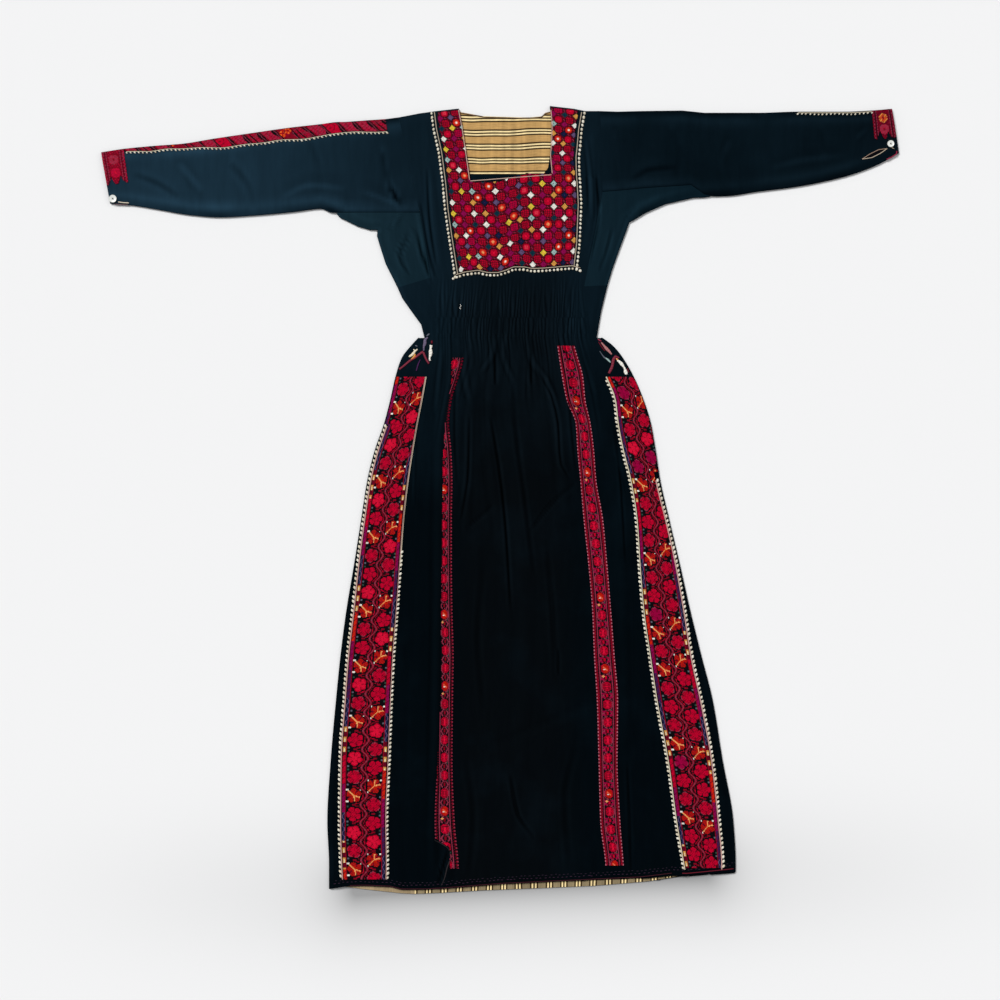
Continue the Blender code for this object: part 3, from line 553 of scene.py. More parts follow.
def shoulder_spot(column, inset):
    """Where a column lies `inset` below the top of the shoulder."""
    drop = straight(SHOULDER, bodice_x(column, np.interp(column, (0, LAST_COLUMN), (20, 9)))) + inset
    return bodice_x(column, drop), drop


def bodice_line(columns, ends):
    return ends[0] + (ends[1] - ends[0]) * columns / LAST_COLUMN


def make_front_bodice():
    columns = np.linspace(0, LAST_COLUMN, 205)
    rows = []
    for inset in (SHOULDER_TURN, 9):
        x, drop = shoulder_spot(columns, inset)
        rows.append((x, drop, CLOTH + 0 * x))
    for turn in FOLD_TURNS[::-1]:
        x, drop = shoulder_spot(columns, FOLD_RADIUS - FOLD_INSIDE * math.sin(turn))
        rows.append((x, drop, FOLD_RADIUS + FOLD_INSIDE * math.cos(turn) + 0 * x))
    last = drop
    for number, ends in enumerate(CHEST_LINES):
        line = bodice_line(columns, ends)
        pieces = max(2, int(np.mean(line - last) / 4.2))
        for part in range(1, pieces + 1):
            drop = last + (line - last) * part / pieces
            x = bodice_x(columns, drop)
            rows.append((x, drop, FRONT_INSIDE + front_lift(x, drop)))
        if number == NECK_LINE:
            neck_row = len(rows) - 1
        last = line
    middles = (columns[:-1] + columns[1:]) / 2
    keep = np.ones((len(rows) - 1, len(middles)), bool)
    keep[:neck_row, (middles > NECK_COLUMNS[0]) & (middles < NECK_COLUMNS[1])] = False
    sew_cloth("front_bodice", *np.array(rows).transpose(1, 0, 2), "navy_sateen", keep=keep)


def make_back_bodice():
    columns = np.linspace(0, LAST_COLUMN, 69)
    x, top = shoulder_spot(columns, SHOULDER_TURN)
    inside = (columns > NECK_COLUMNS[0]) & (columns < NECK_COLUMNS[1])
    last = np.where(inside, straight(BACK_NECK, x), top)
    rows = [(x, last)]
    for ends in BACK_LINES:
        line = bodice_line(columns, ends)
        for part in range(1, 13):
            drop = last + (line - last) * part / 12
            rows.append((bodice_x(columns, drop), drop))
        last = line
    x, drop = np.array(rows).transpose(1, 0, 2)
    sew_cloth("back_bodice", x, drop, CLOTH + back_lift(x, drop), "navy_sateen", flip=True)


def make_sleeve(side):
    """A flattened tube, rolled round the arm's top and underside, with an open cuff."""
    table = np.array(SLEEVES[side], float)
    way = abs(table[:, 0] - table[0, 0])
    at = np.unique(np.r_[np.arange(0, way[-1], 5), way])
    free = np.interp(at, way, np.arange(len(table)) < FREE_STATIONS[side])[:, None]
    top_x, top_drop, low_x, low_drop = (
        np.where(free > 0, flow(way, part, at)[:, None], np.interp(at, way, part)[:, None]) for part in table.T)
    width = np.hypot(low_x - top_x, low_drop - top_drop)
    half, turns = np.linspace(math.pi / 2, 0, 5)[None, :], FOLD_TURNS[None, :] + 0 * width
    ends = free * (width - FOLD_RADIUS + FOLD_INSIDE * np.sin(half)) \
        + (1 - free) * (width - FOLD_RADIUS * (1 - np.sin(half)))
    run = (width - FOLD_RADIUS) + (2 * FOLD_RADIUS - width) * np.linspace(0, 1, 36)[None, 1:-1]
    arc = FOLD_RADIUS - FOLD_INSIDE * np.sin(turns)
    distance = np.hstack((ends, run, arc, run[:, ::-1], ends[:, ::-1]))
    rise = FOLD_INSIDE * np.cos(half)
    front_end = free * (FOLD_RADIUS + rise) + (1 - free) * FRONT_INSIDE
    back_end = free * (FOLD_RADIUS - rise) + (1 - free) * CLOTH
    z = np.hstack((front_end, FRONT_INSIDE + 0 * run, FOLD_RADIUS + FOLD_INSIDE * np.cos(turns), CLOTH + 0 * run,
                   back_end[:, ::-1]))
    x = top_x + (low_x - top_x) / width * distance
    drop = top_drop + (low_drop - top_drop) / width * distance
    last_end = half.size - 1
    front = half.size + run.shape[1]
    back = front + arc.shape[1]
    z[:, last_end:front] += front_lift(x[:, last_end:front], drop[:, last_end:front])
    z[:, back:] += back_lift(x[:, back:], drop[:, back:])
    sew_cloth("sleeve_" + side, x, drop, z, "navy_sateen", flip=side == "right", weld=True)


def make_neck_facing():
    downs = np.linspace(0, 1, 41)[:, None]
    bottom = NECK_FACING_RIGHT[-1][0]
    right = straight(NECK_FACING_RIGHT, 10 + downs * (bottom - 10))
    x = NECK_FACING_LEFT + (right - NECK_FACING_LEFT) * np.linspace(0, 1, 61)[None, :]
    top = straight(BACK_NECK, x)
    drop = top + (bottom - top) * downs
    lift = 0.35 * (1 + np.sin(drop / 9 + x / 50)) * ease((bottom - drop) / 12)
    sew_cloth("neck_facing", x, drop, CLOTH + SEWN_ON + lift, "striped_neck_cotton", "facing", 0.8)


def make_hem_facing():
    x = np.linspace(*HEM_FACING_ENDS, 121)[None, :] + np.zeros((7, 1))
    drop = straight(BACK_HEM, x) - np.linspace(HEM_FACING_WIDTH, 0.4, 7)[:, None]
    lift = 0.3 * (1 + np.sin(x / 13)) * ease(np.linspace(1, 0, 7))[:, None]
    sew_cloth("hem_facing", x, drop, CLOTH + SEWN_ON + lift, "striped_hem_cotton", "facing", 0.8)


# ---- finishes ----
def linear(colour):
    """0..255 display colour to scene-linear."""
    part = np.asarray(colour, float) / 255
    return np.where(part <= 0.04045, part / 12.92, ((part + 0.055) / 1.055) ** 2.4)


def shade(colour, share=1.0):
    return (*(float(part) for part in linear(np.asarray(colour) * share)), 1.0)


class Wire:
    """A node's output. Sums and products of wires add the math nodes for them."""

    def __init__(self, nodes, socket):
        self.nodes, self.socket = nodes, socket

    def __add__(self, other):
        return self.nodes.maths("ADD", self, other)

    def __sub__(self, other):
        return self.nodes.maths("SUBTRACT", self, other)

    def __mul__(self, other):
        return self.nodes.maths("MULTIPLY", self, other)

    def __abs__(self):
        return self.nodes.maths("ABSOLUTE", self)


class Nodes:
    """Adds nodes to one tree and joins them."""

    def __init__(self, tree):
        self.tree = tree

    def put(self, node, **inputs):
        """Joins or sets a node's inputs: _0 is its first, and any other goes by its name."""
        for name, value in inputs.items():
            socket = node.inputs[int(name[1:]) if name[0] == "_" else name.replace("_", " ")]
            value = value.socket if isinstance(value, Wire) else value
            if isinstance(value, bpy.types.NodeSocket):
                self.tree.links.new(value, socket)
            else:
                socket.default_value = value

    def add(self, kind, output=0, settings=(), **inputs):
        node = self.tree.nodes.new("ShaderNode" + kind)
        for name, value in dict(settings).items():
            setattr(node, name, value)
        self.put(node, **inputs)
        return Wire(self, node.outputs[output])

    def maths(self, operation, a, b=0.0, clamp=False):
        return self.add("Math", settings={"operation": operation, "use_clamp": clamp}, _0=a, _1=b)

    def scale(self, colour, share):
        return self.add("VectorMath", settings={"operation": "SCALE"}, _0=colour, Scale=share)

    def blend(self, share, a, b):
        return self.add("Mix", 2, {"data_type": "RGBA"}, _0=share, _6=a, _7=b)

    def between(self, value, low, high, to_low=0.0, to_high=1.0):
        return self.add("MapRange", settings={"interpolation_type": "SMOOTHSTEP"}, Value=value, From_Min=low,
                        From_Max=high, To_Min=to_low, To_Max=to_high)

    def place(self):
        return self.add("TexCoord", "Object")

    def axes(self, place):
        wires = self.add("SeparateXYZ", Vector=place).socket.node.outputs
        return [Wire(self, socket) for socket in wires]

    def noise(self, place, scale, detail=2.0, roughness=0.5):
        """Cloudy noise. A scale with three parts stretches it."""
        if isinstance(scale, tuple):
            place, scale = self.add("Mapping", Vector=place, Scale=scale), 1.0
        return self.add("TexNoise", "Fac", Vector=place, Scale=scale, Detail=detail, Roughness=roughness)

    def group(self, name, **inputs):
        """Places a shared group, built the first time it is asked for, and gives its outputs by name."""
        tree = bpy.data.node_groups.get(name) or GROUPS[name](name)
        return self.add("Group", settings={"node_tree": tree}, **inputs).socket.node.outputs

    def bump(self, height, strength, distance):
        return self.add("Bump", Strength=strength, Distance=distance, Height=height)


def new_group(name, inputs, outputs):
    """An empty node group with its sockets. Returns its Nodes and its inputs by name."""
    group = bpy.data.node_groups.new(name, "ShaderNodeTree")
    for label, value in inputs.items():
        kind = "NodeSocketColor" if isinstance(value, tuple) else "NodeSocketFloat"
        group.interface.new_socket(label, in_out="INPUT", socket_type=kind).default_value = value
    for label in outputs:
        kind = "NodeSocketColor" if label == "Colour" else "NodeSocketFloat"
        group.interface.new_socket(label, in_out="OUTPUT", socket_type=kind)
    nodes = Nodes(group)
    given = group.nodes.new("NodeGroupInput").outputs
    return nodes, {label: Wire(nodes, given[label]) for label in inputs}


def close_group(nodes, **results):
    nodes.put(nodes.tree.nodes.new("NodeGroupOutput"), **results)
    return nodes.tree


def weave_group(name):
    """Woven cloth: threads over and under, uneven dye, and soft fine wrinkles."""
    nodes, given = new_group(
        name, {"Dye": (0.01, 0.02, 0.03, 1), "Faded": (0.02, 0.04, 0.06, 1), "Fade": 0.0, "Threads": 260.0,
               "Wrinkles": 1.0}, ("Colour", "Roughness", "Height"))
    place = nodes.place()
    streaky = nodes.noise(place, (90.0, 14.0, 60.0), 3.0, 0.6)
    warp, weft = (nodes.add("TexWave", "Fac", {"wave_type": "BANDS", "bands_direction": way}, Vector=place,
                            Scale=given["Threads"], Distortion=0.6) for way in "XY")
    threads = nodes.maths("MAXIMUM", warp, weft * 0.8)
    uneven = (nodes.noise(place, 7.0, 4.0, 0.6) - 0.5) * 0.25
    colour = nodes.blend(nodes.maths("ADD", given["Fade"], uneven, clamp=True), given["Dye"], given["Faded"])
    tone = (streaky * 0.45 + 0.78) * (threads * 0.16 + 0.90)
    wrinkle = nodes.noise(place, (34.0, 10.0, 20.0), 4.0, 0.55)
    return close_group(nodes, Colour=nodes.scale(colour, tone), Height=wrinkle * given["Wrinkles"] + threads * 0.05,
                       Roughness=streaky * 0.14 + 0.34)


def stitch_group(name):
    """Counted cross stitch: one crossed pair of threads to each unit square of the UV map."""
    nodes, given = new_group(name, {"Gap": 0.35}, ("Shade", "Height"))
    place = nodes.add("UVMap", settings={"uv_map": "UVMap"})
    u, v, _ = nodes.axes(nodes.add("VectorMath", settings={"operation": "FRACTION"}, _0=place))
    under = nodes.between(abs(u + v - 1.0), 0.42, 0.06)
    over = nodes.between(abs(u - v), 0.44, 0.05)
    height = nodes.maths("MAXIMUM", under * 0.75, over)
    return close_group(nodes, Height=height, Shade=(height - 1.0) * given["Gap"] + 1.0)


def twist_group(name):
    """Plied thread: slanting plies along the UV map, u along in thread widths and v round."""
    nodes, given = new_group(name, {"Plies": 1.0, "Depth": 0.4}, ("Shade", "Height"))
    u, v, _ = nodes.axes(nodes.add("UVMap", settings={"uv_map": "UVMap"}))
    ply = nodes.maths("SINE", (u * given["Plies"] + v) * math.tau) * 0.5 + 0.5
    return close_group(nodes, Height=ply, Shade=(ply - 1.0) * given["Depth"] + 1.0)


GROUPS = {"woven_cloth": weave_group, "cross_stitches": stitch_group, "plied_thread": twist_group}


def new_material(name, roughness=0.6, specular=0.2):
    material = bpy.data.materials.new(name)
    material.use_nodes = True
    nodes = Nodes(material.node_tree)
    shader = material.node_tree.nodes["Principled BSDF"]
    nodes.put(shader, Roughness=roughness, Specular_IOR_Level=specular)
    return material, nodes, shader


def fade_and_light_mask(nodes, axes):
    """How far the cloth is made paler, partly as faded cloth and partly as painted light on the upper left: most on one
    sleeve and the shoulders, least on the skirt.
    """
    middle = nodes.between(abs(axes[0] - 0.03), 0.03, 0.15, 0.35, 1.0)
    upper = nodes.between(axes[1], -0.10, 0.55, 0.0, 0.34) * middle * nodes.between(axes[0], 0.10, 0.24, 1.0, 0.40)
    return upper + nodes.between(axes[1], 0.30, 0.50) * nodes.between(axes[0], -0.10, -0.52, 0.0, 0.60)


BAND_FADED = (16 / 255, 15 / 255, 20 / 255)


def make_cloth_finish(name, dye, faded, wrinkles, fade=None):
    """Woven cotton in a dye and its faded tone. Without a fade it is made paler up and to the left, partly as faded
    cloth and partly as painted light.
    """
    material, nodes, shader = new_material(name, specular=0.0)
    dye, faded = on_display(dye), on_display(faded)
    axes = nodes.axes(nodes.place())
    sooty = nodes.between(abs(axes[0] - 0.02), 0.06, 0.15, 1.0, 0.0) * nodes.between(axes[1], 0.50, 0.35)
    # the fade mask makes the cloth paler towards the top and the left sleeve: partly fading, partly painted light
    woven = nodes.group("woven_cloth", Dye=nodes.blend(sooty, shade(dye), shade(dye, (1.7, 1.05, 0.95))),
                        Faded=shade(faded), Fade=fade_and_light_mask(nodes, axes) if fade is None else fade,
                        Wrinkles=wrinkles)
    # painted shade and highlight: the colour is darkened to a fifth in fold valleys and brightened up to 1.8 times on
    # crests
    crest = nodes.add("Attribute", "Fac", {"attribute_name": "crest"})
    nodes.put(shader, Base_Color=nodes.scale(woven["Colour"], crest * 1.6 + 0.20), Roughness=woven["Roughness"],
              Normal=nodes.bump(woven["Height"], 0.5, 0.0016))
    return material


def make_thread_finish(name, group, specular, strength, distance, **worked):
    """Thread in the colours painted on the mesh, with the pattern that it is worked or plied in."""
    material, nodes, shader = new_material(name, 0.55, specular)
    pattern = nodes.group(group, **worked)
    thread = nodes.add("VertexColor", "Color", {"layer_name": "thread"})
    nodes.put(shader, Base_Color=nodes.scale(thread, pattern["Shade"]),
              Normal=nodes.bump(pattern["Height"], strength, distance))
    return material


def make_floor_finish(name, colour):
    """Pale paper, with a soft shadow painted into its colour towards the hem."""
    material, nodes, shader = new_material(name, 0.95, 0.0)
    x, y, _ = nodes.axes(nodes.place())
    held = nodes.maths("MINIMUM", nodes.maths("MAXIMUM", x, -0.25), 0.36)
    beside, below = x - held, y + held * -0.05 + 0.672
    beside, below = beside * beside, below * below
    near = nodes.maths("POWER", math.e, nodes.maths("SQRT", beside + below) * -26.0)
    wide = nodes.maths("POWER", math.e, beside * -5.0 + below * -64.0)
    # painted shadow: the paper darkens strongly close to the hem, and faintly over a wider area beside it
    dark = nodes.maths("ADD", wide * 0.19, near, clamp=True)
    nodes.put(shader, Base_Color=nodes.blend(dark, shade(colour), shade(colour, 0.66)))
    return material


DARK_STRIPE, PALE_STRIPE, PLAIN_STRIP = (52, 36, 10), (236, 212, 156), (156, 136, 104)
STRIPES = ((0.475, 0.57, DARK_STRIPE), (0.585, 0.675, PALE_STRIPE), (0.69, 0.775, DARK_STRIPE),
           (0.79, 0.88, PALE_STRIPE), (0.895, 0.985, DARK_STRIPE))


def make_striped_finish(name, axis, period, start, ground, fine, broad, plain_before=None):
    """Striped cotton: stripes of the warp repeat every `period` metres along one axis. Left of `plain_before`
    it was cut between stripes."""
    material, nodes, shader = new_material(name, 0.75, 0.15)
    place = nodes.place()
    axes = nodes.axes(place)
    waver = (nodes.noise(place, (9.0, 9.0, 0.0)) - 0.5) * 0.010
    striped = nodes.add("ValToRGB", _0=nodes.maths("FRACT", (waver - axes[axis] + start) * (1 / period)))
    spots = [(0.0, ground), (0.46, ground)]
    for start_at, end_at, colour in STRIPES:
        spots += [(start_at, colour), (end_at, colour)]
    spots.append((1.0, ground))
    colours = striped.socket.node.color_ramp.elements
    while len(colours) < len(spots):
        colours.new(0.5)
    for element, (spot, colour) in zip(colours, spots):
        element.position, element.color = spot, shade(colour)
    tone = (nodes.noise(place, fine, 3.0) + nodes.noise(place, broad, 3.0)) * 0.85 + 0.13
    if plain_before is not None:
        striped = nodes.blend(nodes.between(axes[0], plain_before - 0.004, plain_before), shade(PLAIN_STRIP), striped)
    nodes.put(shader, Base_Color=nodes.scale(striped, tone),
              Normal=nodes.bump(nodes.group("woven_cloth", Wrinkles=0.6)["Height"], 0.4, 0.001))
    return material


def make_pearl_finish(name, colour):
    material, nodes, shader = new_material(name, 0.28, 0.5)
    nodes.put(shader, Base_Color=nodes.blend(nodes.noise(nodes.place(), 420.0, 3.0), shade(colour),
                                             shade(colour, 0.86)))
    return material


def on_display(value):
    return tuple(255 * part for part in value)


def finish_named(name):
    """The material of this name, made the first time it is asked for."""
    scene = bpy.context.scene
    cloth, threads = scene.thobe_cloth, scene.thobe_threads
    makers = {
        "navy_sateen": lambda: make_cloth_finish(name, cloth.dye, cloth.faded, cloth.wrinkles),
        "teal_gusset_cotton": lambda: make_cloth_finish(name, cloth.gusset_dye, cloth.gusset_faded, cloth.wrinkles),
        "band_ground_cotton": lambda: make_cloth_finish(name, cloth.ground, BAND_FADED, cloth.wrinkles, 0.2),
        "cotton_cross_stitch": lambda: make_thread_finish(name, "cross_stitches", 0.02, 0.35, 0.0005,
                                                          Gap=threads.gap),
        "plied_cotton": lambda: make_thread_finish(name, "plied_thread", 0.12, 0.5, 0.0004, Plies=threads.plies,
                                                   Depth=threads.depth),
        "striped_neck_cotton": lambda: make_striped_finish(name, 1, 0.0244, 0.6850, (184, 145, 88),
                                                           (60.0, 520.0, 1.0), (110.0, 6.0, 1.0)),
        "striped_hem_cotton": lambda: make_striped_finish(name, 0, 0.0262, 0.0, (134, 119, 90), (520.0, 60.0, 1.0),
                                                          (40.0, 20.0, 1.0), -0.147),
        "pearl_button": lambda: make_pearl_finish(name, on_display(scene.thobe_buttons.pearl)),
        "floor_paper": lambda: make_floor_finish(name, on_display(scene.thobe_stage.floor)),
    }
    return bpy.data.materials.get(name) or makers[name]()


# ---- counted cross stitch ----
THREADS = {
    "ground": (9, 8, 13), "crimson": (188, 0, 42), "deep": (96, 3, 28), "bright": (214, 14, 52), "wine": (134, 4, 30),
    "rose": (142, 48, 70), "red": (206, 34, 16), "orange": (230, 98, 36), "peach": (240, 164, 98),
    "yellow": (226, 196, 62), "gold": (212, 150, 72), "cream": (232, 220, 192), "white": (240, 236, 226),
    "mist": (160, 186, 182), "lilac": (96, 74, 112), "magenta": (136, 6, 76), "purple": (66, 26, 76),
    "navy": (16, 26, 60), "teal": (6, 50, 62), "leaf": (44, 74, 62), "grey": (92, 96, 108), "flame": (184, 24, 8),
    "plum": (150, 0, 58), "salmon": (232, 104, 76), "coral": (218, 48, 70), "blush": (186, 104, 122),
    "raspberry": (182, 10, 54), "garnet": (124, 40, 58), "shell": (176, 116, 116), "dusk": (100, 90, 114),
}
NUMBER = {name: number for number, name in enumerate(THREADS)}

# the chest: rosettes (s solid, h hatched, m mixed, d with a pale heart, p with a pink heart) and the diamonds between
ROSETTES = ("hshhdmh", "hhdshhp", "smhdhhs", "hdshhmh", "phmshdh")
DIAMONDS = ("wmgnumt", "tybmwmu", "mumtgwn", "gwmunmt", "bmtwmyg", "ymwgtmu")
DIAMOND_THREADS = {"w": "white", "y": "yellow", "g": "gold", "b": "mist", "m": "magenta", "u": "lilac",
                   "t": "teal", "n": "navy"}
DIAMOND_HEARTS = {"m": "wine", "u": "grey", "t": "navy", "n": "purple", "b": "leaf"}


def lookup(table, row, column):
    letters = np.array([list(line) for line in table])
    return letters[row % len(table), column % len(table[0])]


def picked(letters, turn):
    return np.array(list(letters))[turn.astype(int) % len(letters)]


def start_chart(across, down, thread="ground"):
    """The places of a chart's stitches, the chart worked all over in one thread, and a way to work others."""
    across, down = np.broadcast_arrays(across, down)
    chart = np.full(across.shape, NUMBER[thread])

    def work(where, thread):
        chart[np.broadcast_to(where, chart.shape)] = NUMBER[thread]

    return across, down, chart, work


def chest_chart(across, up):
    """Rosettes on a square lattice 12 stitches apart, a diamond between every four."""
    across, up, chart, work = start_chart(across, up)
    i, j = (across - 2) % 12 - 5.5, (up - 2) % 12 - 5.5
    column, row = (across - 2) // 12, (up - 2) // 12
    r = np.hypot(i, j)
    work((r >= 5.0) & (r < 6.3), "deep")
    work((r >= 5.0) & (r < 6.0) & ((across + up) % 3 == 0), "rose")
    reach = abs((across + 4) % 12 - 6) + abs((up + 4) % 12 - 6)
    which = lookup(DIAMONDS, (up + 4) // 12, (across + 4) // 12)
    for letter, thread in DIAMOND_THREADS.items():
        mine = which == letter
        work(mine & (reach <= 4), "deep" if letter in "mt" else "ground")
        work(mine & (reach <= 3), thread)
        if letter != "w":
            work(mine & (reach == 0), DIAMOND_HEARTS.get(letter, "gold"))
        if letter in "mutn":
            work(mine & (reach == 3) & ((across + up) % 2 == 0), "deep")
    kind = lookup(ROSETTES, row, column)
    disc = r < 4.4
    work((r >= 4.4) & (r < 5.0), "ground")
    work(disc, "crimson")
    work(disc & (kind == "s") & (r > 3.6), "wine")
    work(disc & (kind == "s") & (r < 1.5), "bright")
    mesh = disc & ((kind == "h") | (kind == "m"))
    work(mesh, "wine")
    work(mesh & (kind == "m"), "plum")
    work(mesh & (r > 3.4) & ((across + 2 * up) % 3 == 0), "crimson")
    work(mesh & (r < 3.4) & (np.floor(i) % 2 == 0) & (np.floor(j) % 2 == 0), "crimson")
    work(mesh & (r < 3.4) & (np.floor(i) % 2 == 1) & (np.floor(j) % 2 == 1), "deep")
    work(disc & ((kind == "d") | (kind == "p")), "wine")
    work((r < 3.8) & (kind == "d"), "red")
    work((r < 3.8) & (kind == "p"), "crimson")
    work((r < 1.8) & (kind == "d"), "salmon")
    work((r < 2.3) & (kind == "p"), "coral")
    work((r < 0.9) & (kind == "d") & ((column + row) % 2 == 0), "white")
    work((r < 0.9) & (kind == "d") & ((column + row) % 2 == 1), "peach")
    return chart


FLOWER = 7.9  # how far a rosette's petals reach, in stitches


def flower(work, i, j, kind, turn, twig):
    """The five-petalled rosettes of the bands, at distances i and j from their hearts."""
    r = np.hypot(i, j * 0.94)
    petal = abs(np.cos(2.5 * np.arctan2(j, i) + turn)) ** 0.7
    edge = FLOWER * (0.77 + 0.27 * petal)
    inside = r < edge
    parting = (petal < np.where(kind == "o", 0.5, 0.40)) & (r > 2.8)
    work((r < edge + 1.6) & (r >= edge), "ground")
    for letter, fill, line in (("s", "crimson", "deep"), ("c", "crimson", "deep"), ("o", "flame", "deep"),
                               ("r", "bright", "wine"), ("m", "plum", "deep")):
        mine = inside & (kind == letter)
        work(mine, fill)
        work(mine & parting, line)
    weave = (np.round(i + j) % 3 == 0) & (r > 1.5)
    work(inside & (kind == "c") & weave & (r > 3), "wine")
    work(inside & (kind == "s") & weave & (r < 4.5), "wine")
    work(inside & (kind == "o") & (r > 3.6) & (np.round(i - j) % 3 == 0), "wine")
    work(inside & ((kind == "c") | (kind == "m")) & (r > edge - 1.0) & (petal > 0.8), "rose")
    work(inside & (kind == "r") & (r > edge - 1.1), "crimson")
    star = (kind == "o") & (r < FLOWER + 0.6)
    for begin, way, reach in ((-5.6, 0.80, 8.2), (0.3, 1.50, 6.4), (0.3, 0.30, 6.4)):
        from_i, from_j = i - begin, twig * j - begin
        across = from_i * math.sin(way) - from_j * math.cos(way)
        along = from_i * math.cos(way) + from_j * math.sin(way)
        work(star & (abs(across) < 0.66) & (along > -0.5) & (along < reach), "peach")
    for a, b in ((-1, -1), (1, -1), (-1, 1), (1, 1)):
        speck = (abs(i - a * FLOWER * 0.92) < 1.1) & (abs(j - b * FLOWER * 0.92) < 1.1)
        work(speck & (kind == "o") & (a + b != 2), "white")
        leaf = (abs(i - a * FLOWER * 0.86) < 1.1) & (abs(j - b * FLOWER * 1.16) < 1.1)
        work(leaf & (kind != "o"), "leaf" if a == b else "grey")


# the threads of the wide bands' side borders, each for BORDER_RUN stitches
BORDERS = ("magenta", "purple", "wave", "rope", "crimson", "magenta", "wave", "rope", "red")
BORDER_RUN = 34


def variegated(work, where, i, j, shift):
    """A side border whose thread changes every BORDER_RUN stitches."""
    turn = ((j + shift) // BORDER_RUN) % len(BORDERS)
    for number, name in enumerate(BORDERS):
        mine = where & (turn == number)
        if name == "wave":
            work(mine, "navy")
            work(mine & (abs(i - np.round(1.2 * np.sin(j * 0.62))) < 0.6), "lilac")
        elif name == "rope":
            work(mine, "deep")
            work(mine & (((j // 6) % 2 == 0) & (abs(i) < 1.1)), "gold")
            work(mine & (((j // 6) % 2 == 0) & (i == 0) & (j % 6 > 1)), "cream")
        else:
            work(mine, name)
            work(mine & ((i + j) % 7 == 0), "deep")


WIDE_REPEAT = 22
# both columns of each band from the top, and where the first rosettes sit
WIDE_ROSETTES = {
    "left": ("cosrcorsocsrocsorcosrcosrcos", "orscoscorcsosrocsorcsocsrocs", -9),
    "right": ("mocrmocscocsmococscomscossc", "ocrmocssocscocoscscosscossc", -13),
}


def wide_chart(across, down, side):
    """Two columns of rosettes set half a repeat apart, a vine between, and a border at each side."""
    first, second, shift = WIDE_ROSETTES[side]
    across, down, chart, work = start_chart(across, down + shift)
    vine = across - (23.7 + 3.2 * np.sin(2 * np.pi * down / WIDE_REPEAT))
    for heart, start, letters, twig in ((13.2, 5.5, first, 1), (34.6, 16.5, second, -1)):
        turn = (down - start + WIDE_REPEAT / 2) // WIDE_REPEAT
        i = across - heart
        j = down - start - turn * WIDE_REPEAT
        kind = picked(letters, turn)
        r = np.hypot(i, j)
        towards = i * twig
        work((r > 9.3) & (r < 10.7) & (towards > 1.5), "wine")
        work((r > 9.3) & (r < 10.2) & (towards > 2.5) & (j > 0), "crimson")
        work((abs(towards) < 1.6) & (abs(abs(j) - 10.5) < 0.8), "wine")
        flower(work, i, j, kind, 0.9 * turn, twig)
    work(abs(vine) < 2.4, "ground")
    work(abs(vine) < 1.4, "wine")
    work(abs(vine) < 0.6, "rose")
    work((across < 5) | (across > 42), "ground")
    work((across == 4) | (across == 43), "wine")
    variegated(work, (across >= 1) & (across <= 3), across - 2, down, 0)
    variegated(work, (across >= 44) & (across <= 46), across - 45, down, 118)
    return chart


NARROW_REPEAT = 21
NARROW_KINDS = "srcosrsocrs"


def narrow_chart(across, down, shift, full):
    """A chain of rosettes with scrolls between, a line and a dotted rope at each side. A `full` band has its
    ground worked too."""
    across, down, chart, work = start_chart(across, down + shift)
    turn = down // NARROW_REPEAT
    i, j = across - 9.5, down - turn * NARROW_REPEAT - 10.0
    kind = picked(NARROW_KINDS, turn)
    swing = np.pi * 2 * down / NARROW_REPEAT
    for way in (1, -1):
        scroll = i - way * 3.8 * np.cos(swing)
        work((abs(scroll) < 0.8) & (abs(j) > 3.0), "rose")
        work(full & (abs(scroll - 1) < 0.7) & (abs(j) > 5.0), "wine")
    work((abs(i) < 1.0) & (abs(j) > 8.4), "crimson" if full else "wine")
    work(full & (abs(abs(i) - 3.5) < 1.1) & (abs(abs(j) - 8.5) < 1.1), "plum")
    work((abs(i - 3.5) < 0.6) & (abs(j - 6.5) < 0.7), "leaf")
    r = np.hypot(i / 0.80, j / 1.16)
    work(r < 6.2, "ground")
    work((r < 6.2) & (r > 5.5) & (np.sign(i) == np.where(turn % 2 == 0, 1, -1)), "rose")
    work(r < 5.1, "crimson")
    work((r < 5.1) & (r > 4.3) & ((across + down) % 2 == 0), "wine")
    work((r < 4.5) & (abs(abs(i) - abs(j)) < 0.6) & (r > 1.9), "wine")
    work((r < 2.9) & (abs(i) < 1.4), "bright")
    work((kind == "o") & (r < 4.4), "flame")
    work((kind == "o") & (abs(i - j) < 0.8) & (r < 3.4), "salmon")
    work((kind == "o") & (np.hypot(i + 1, j - 1) < 1.0), "white")
    work((kind == "o") & (np.hypot(i + 2.5, j - 9) < 1.3), "peach")
    work((kind == "c") & (r < 4.3) & (down % 2 == 0), "wine")
    side = np.minimum(across, 19 - across)
    work(side == 4, "rose")
    work(side == 3, "ground")
    if not full:  # its upper rosettes are worked in a darker mix
        work((chart == NUMBER["crimson"]) & ((across + down) % 2 == 0) & (down < 0.72 * len(down)), "wine")
    work(side <= 2, "wine" if full else "ground")
    work((side >= 1) & (side <= 2) & ((across + down) % 3 == 0), "deep")
    work((side == 0) & (down % 4 > 1), "blush" if full else "rose")
    work((side == 1) & (down % 4 > 1), "wine")
    work((side == 0) & (down % 4 == 0), "ground")
    if not full:  # painted shade: where the cloth draws together, its edge stitches are worked darker
        work((side <= 1) & (chart != NUMBER["ground"]) & (down < 90), "deep")
    return chart


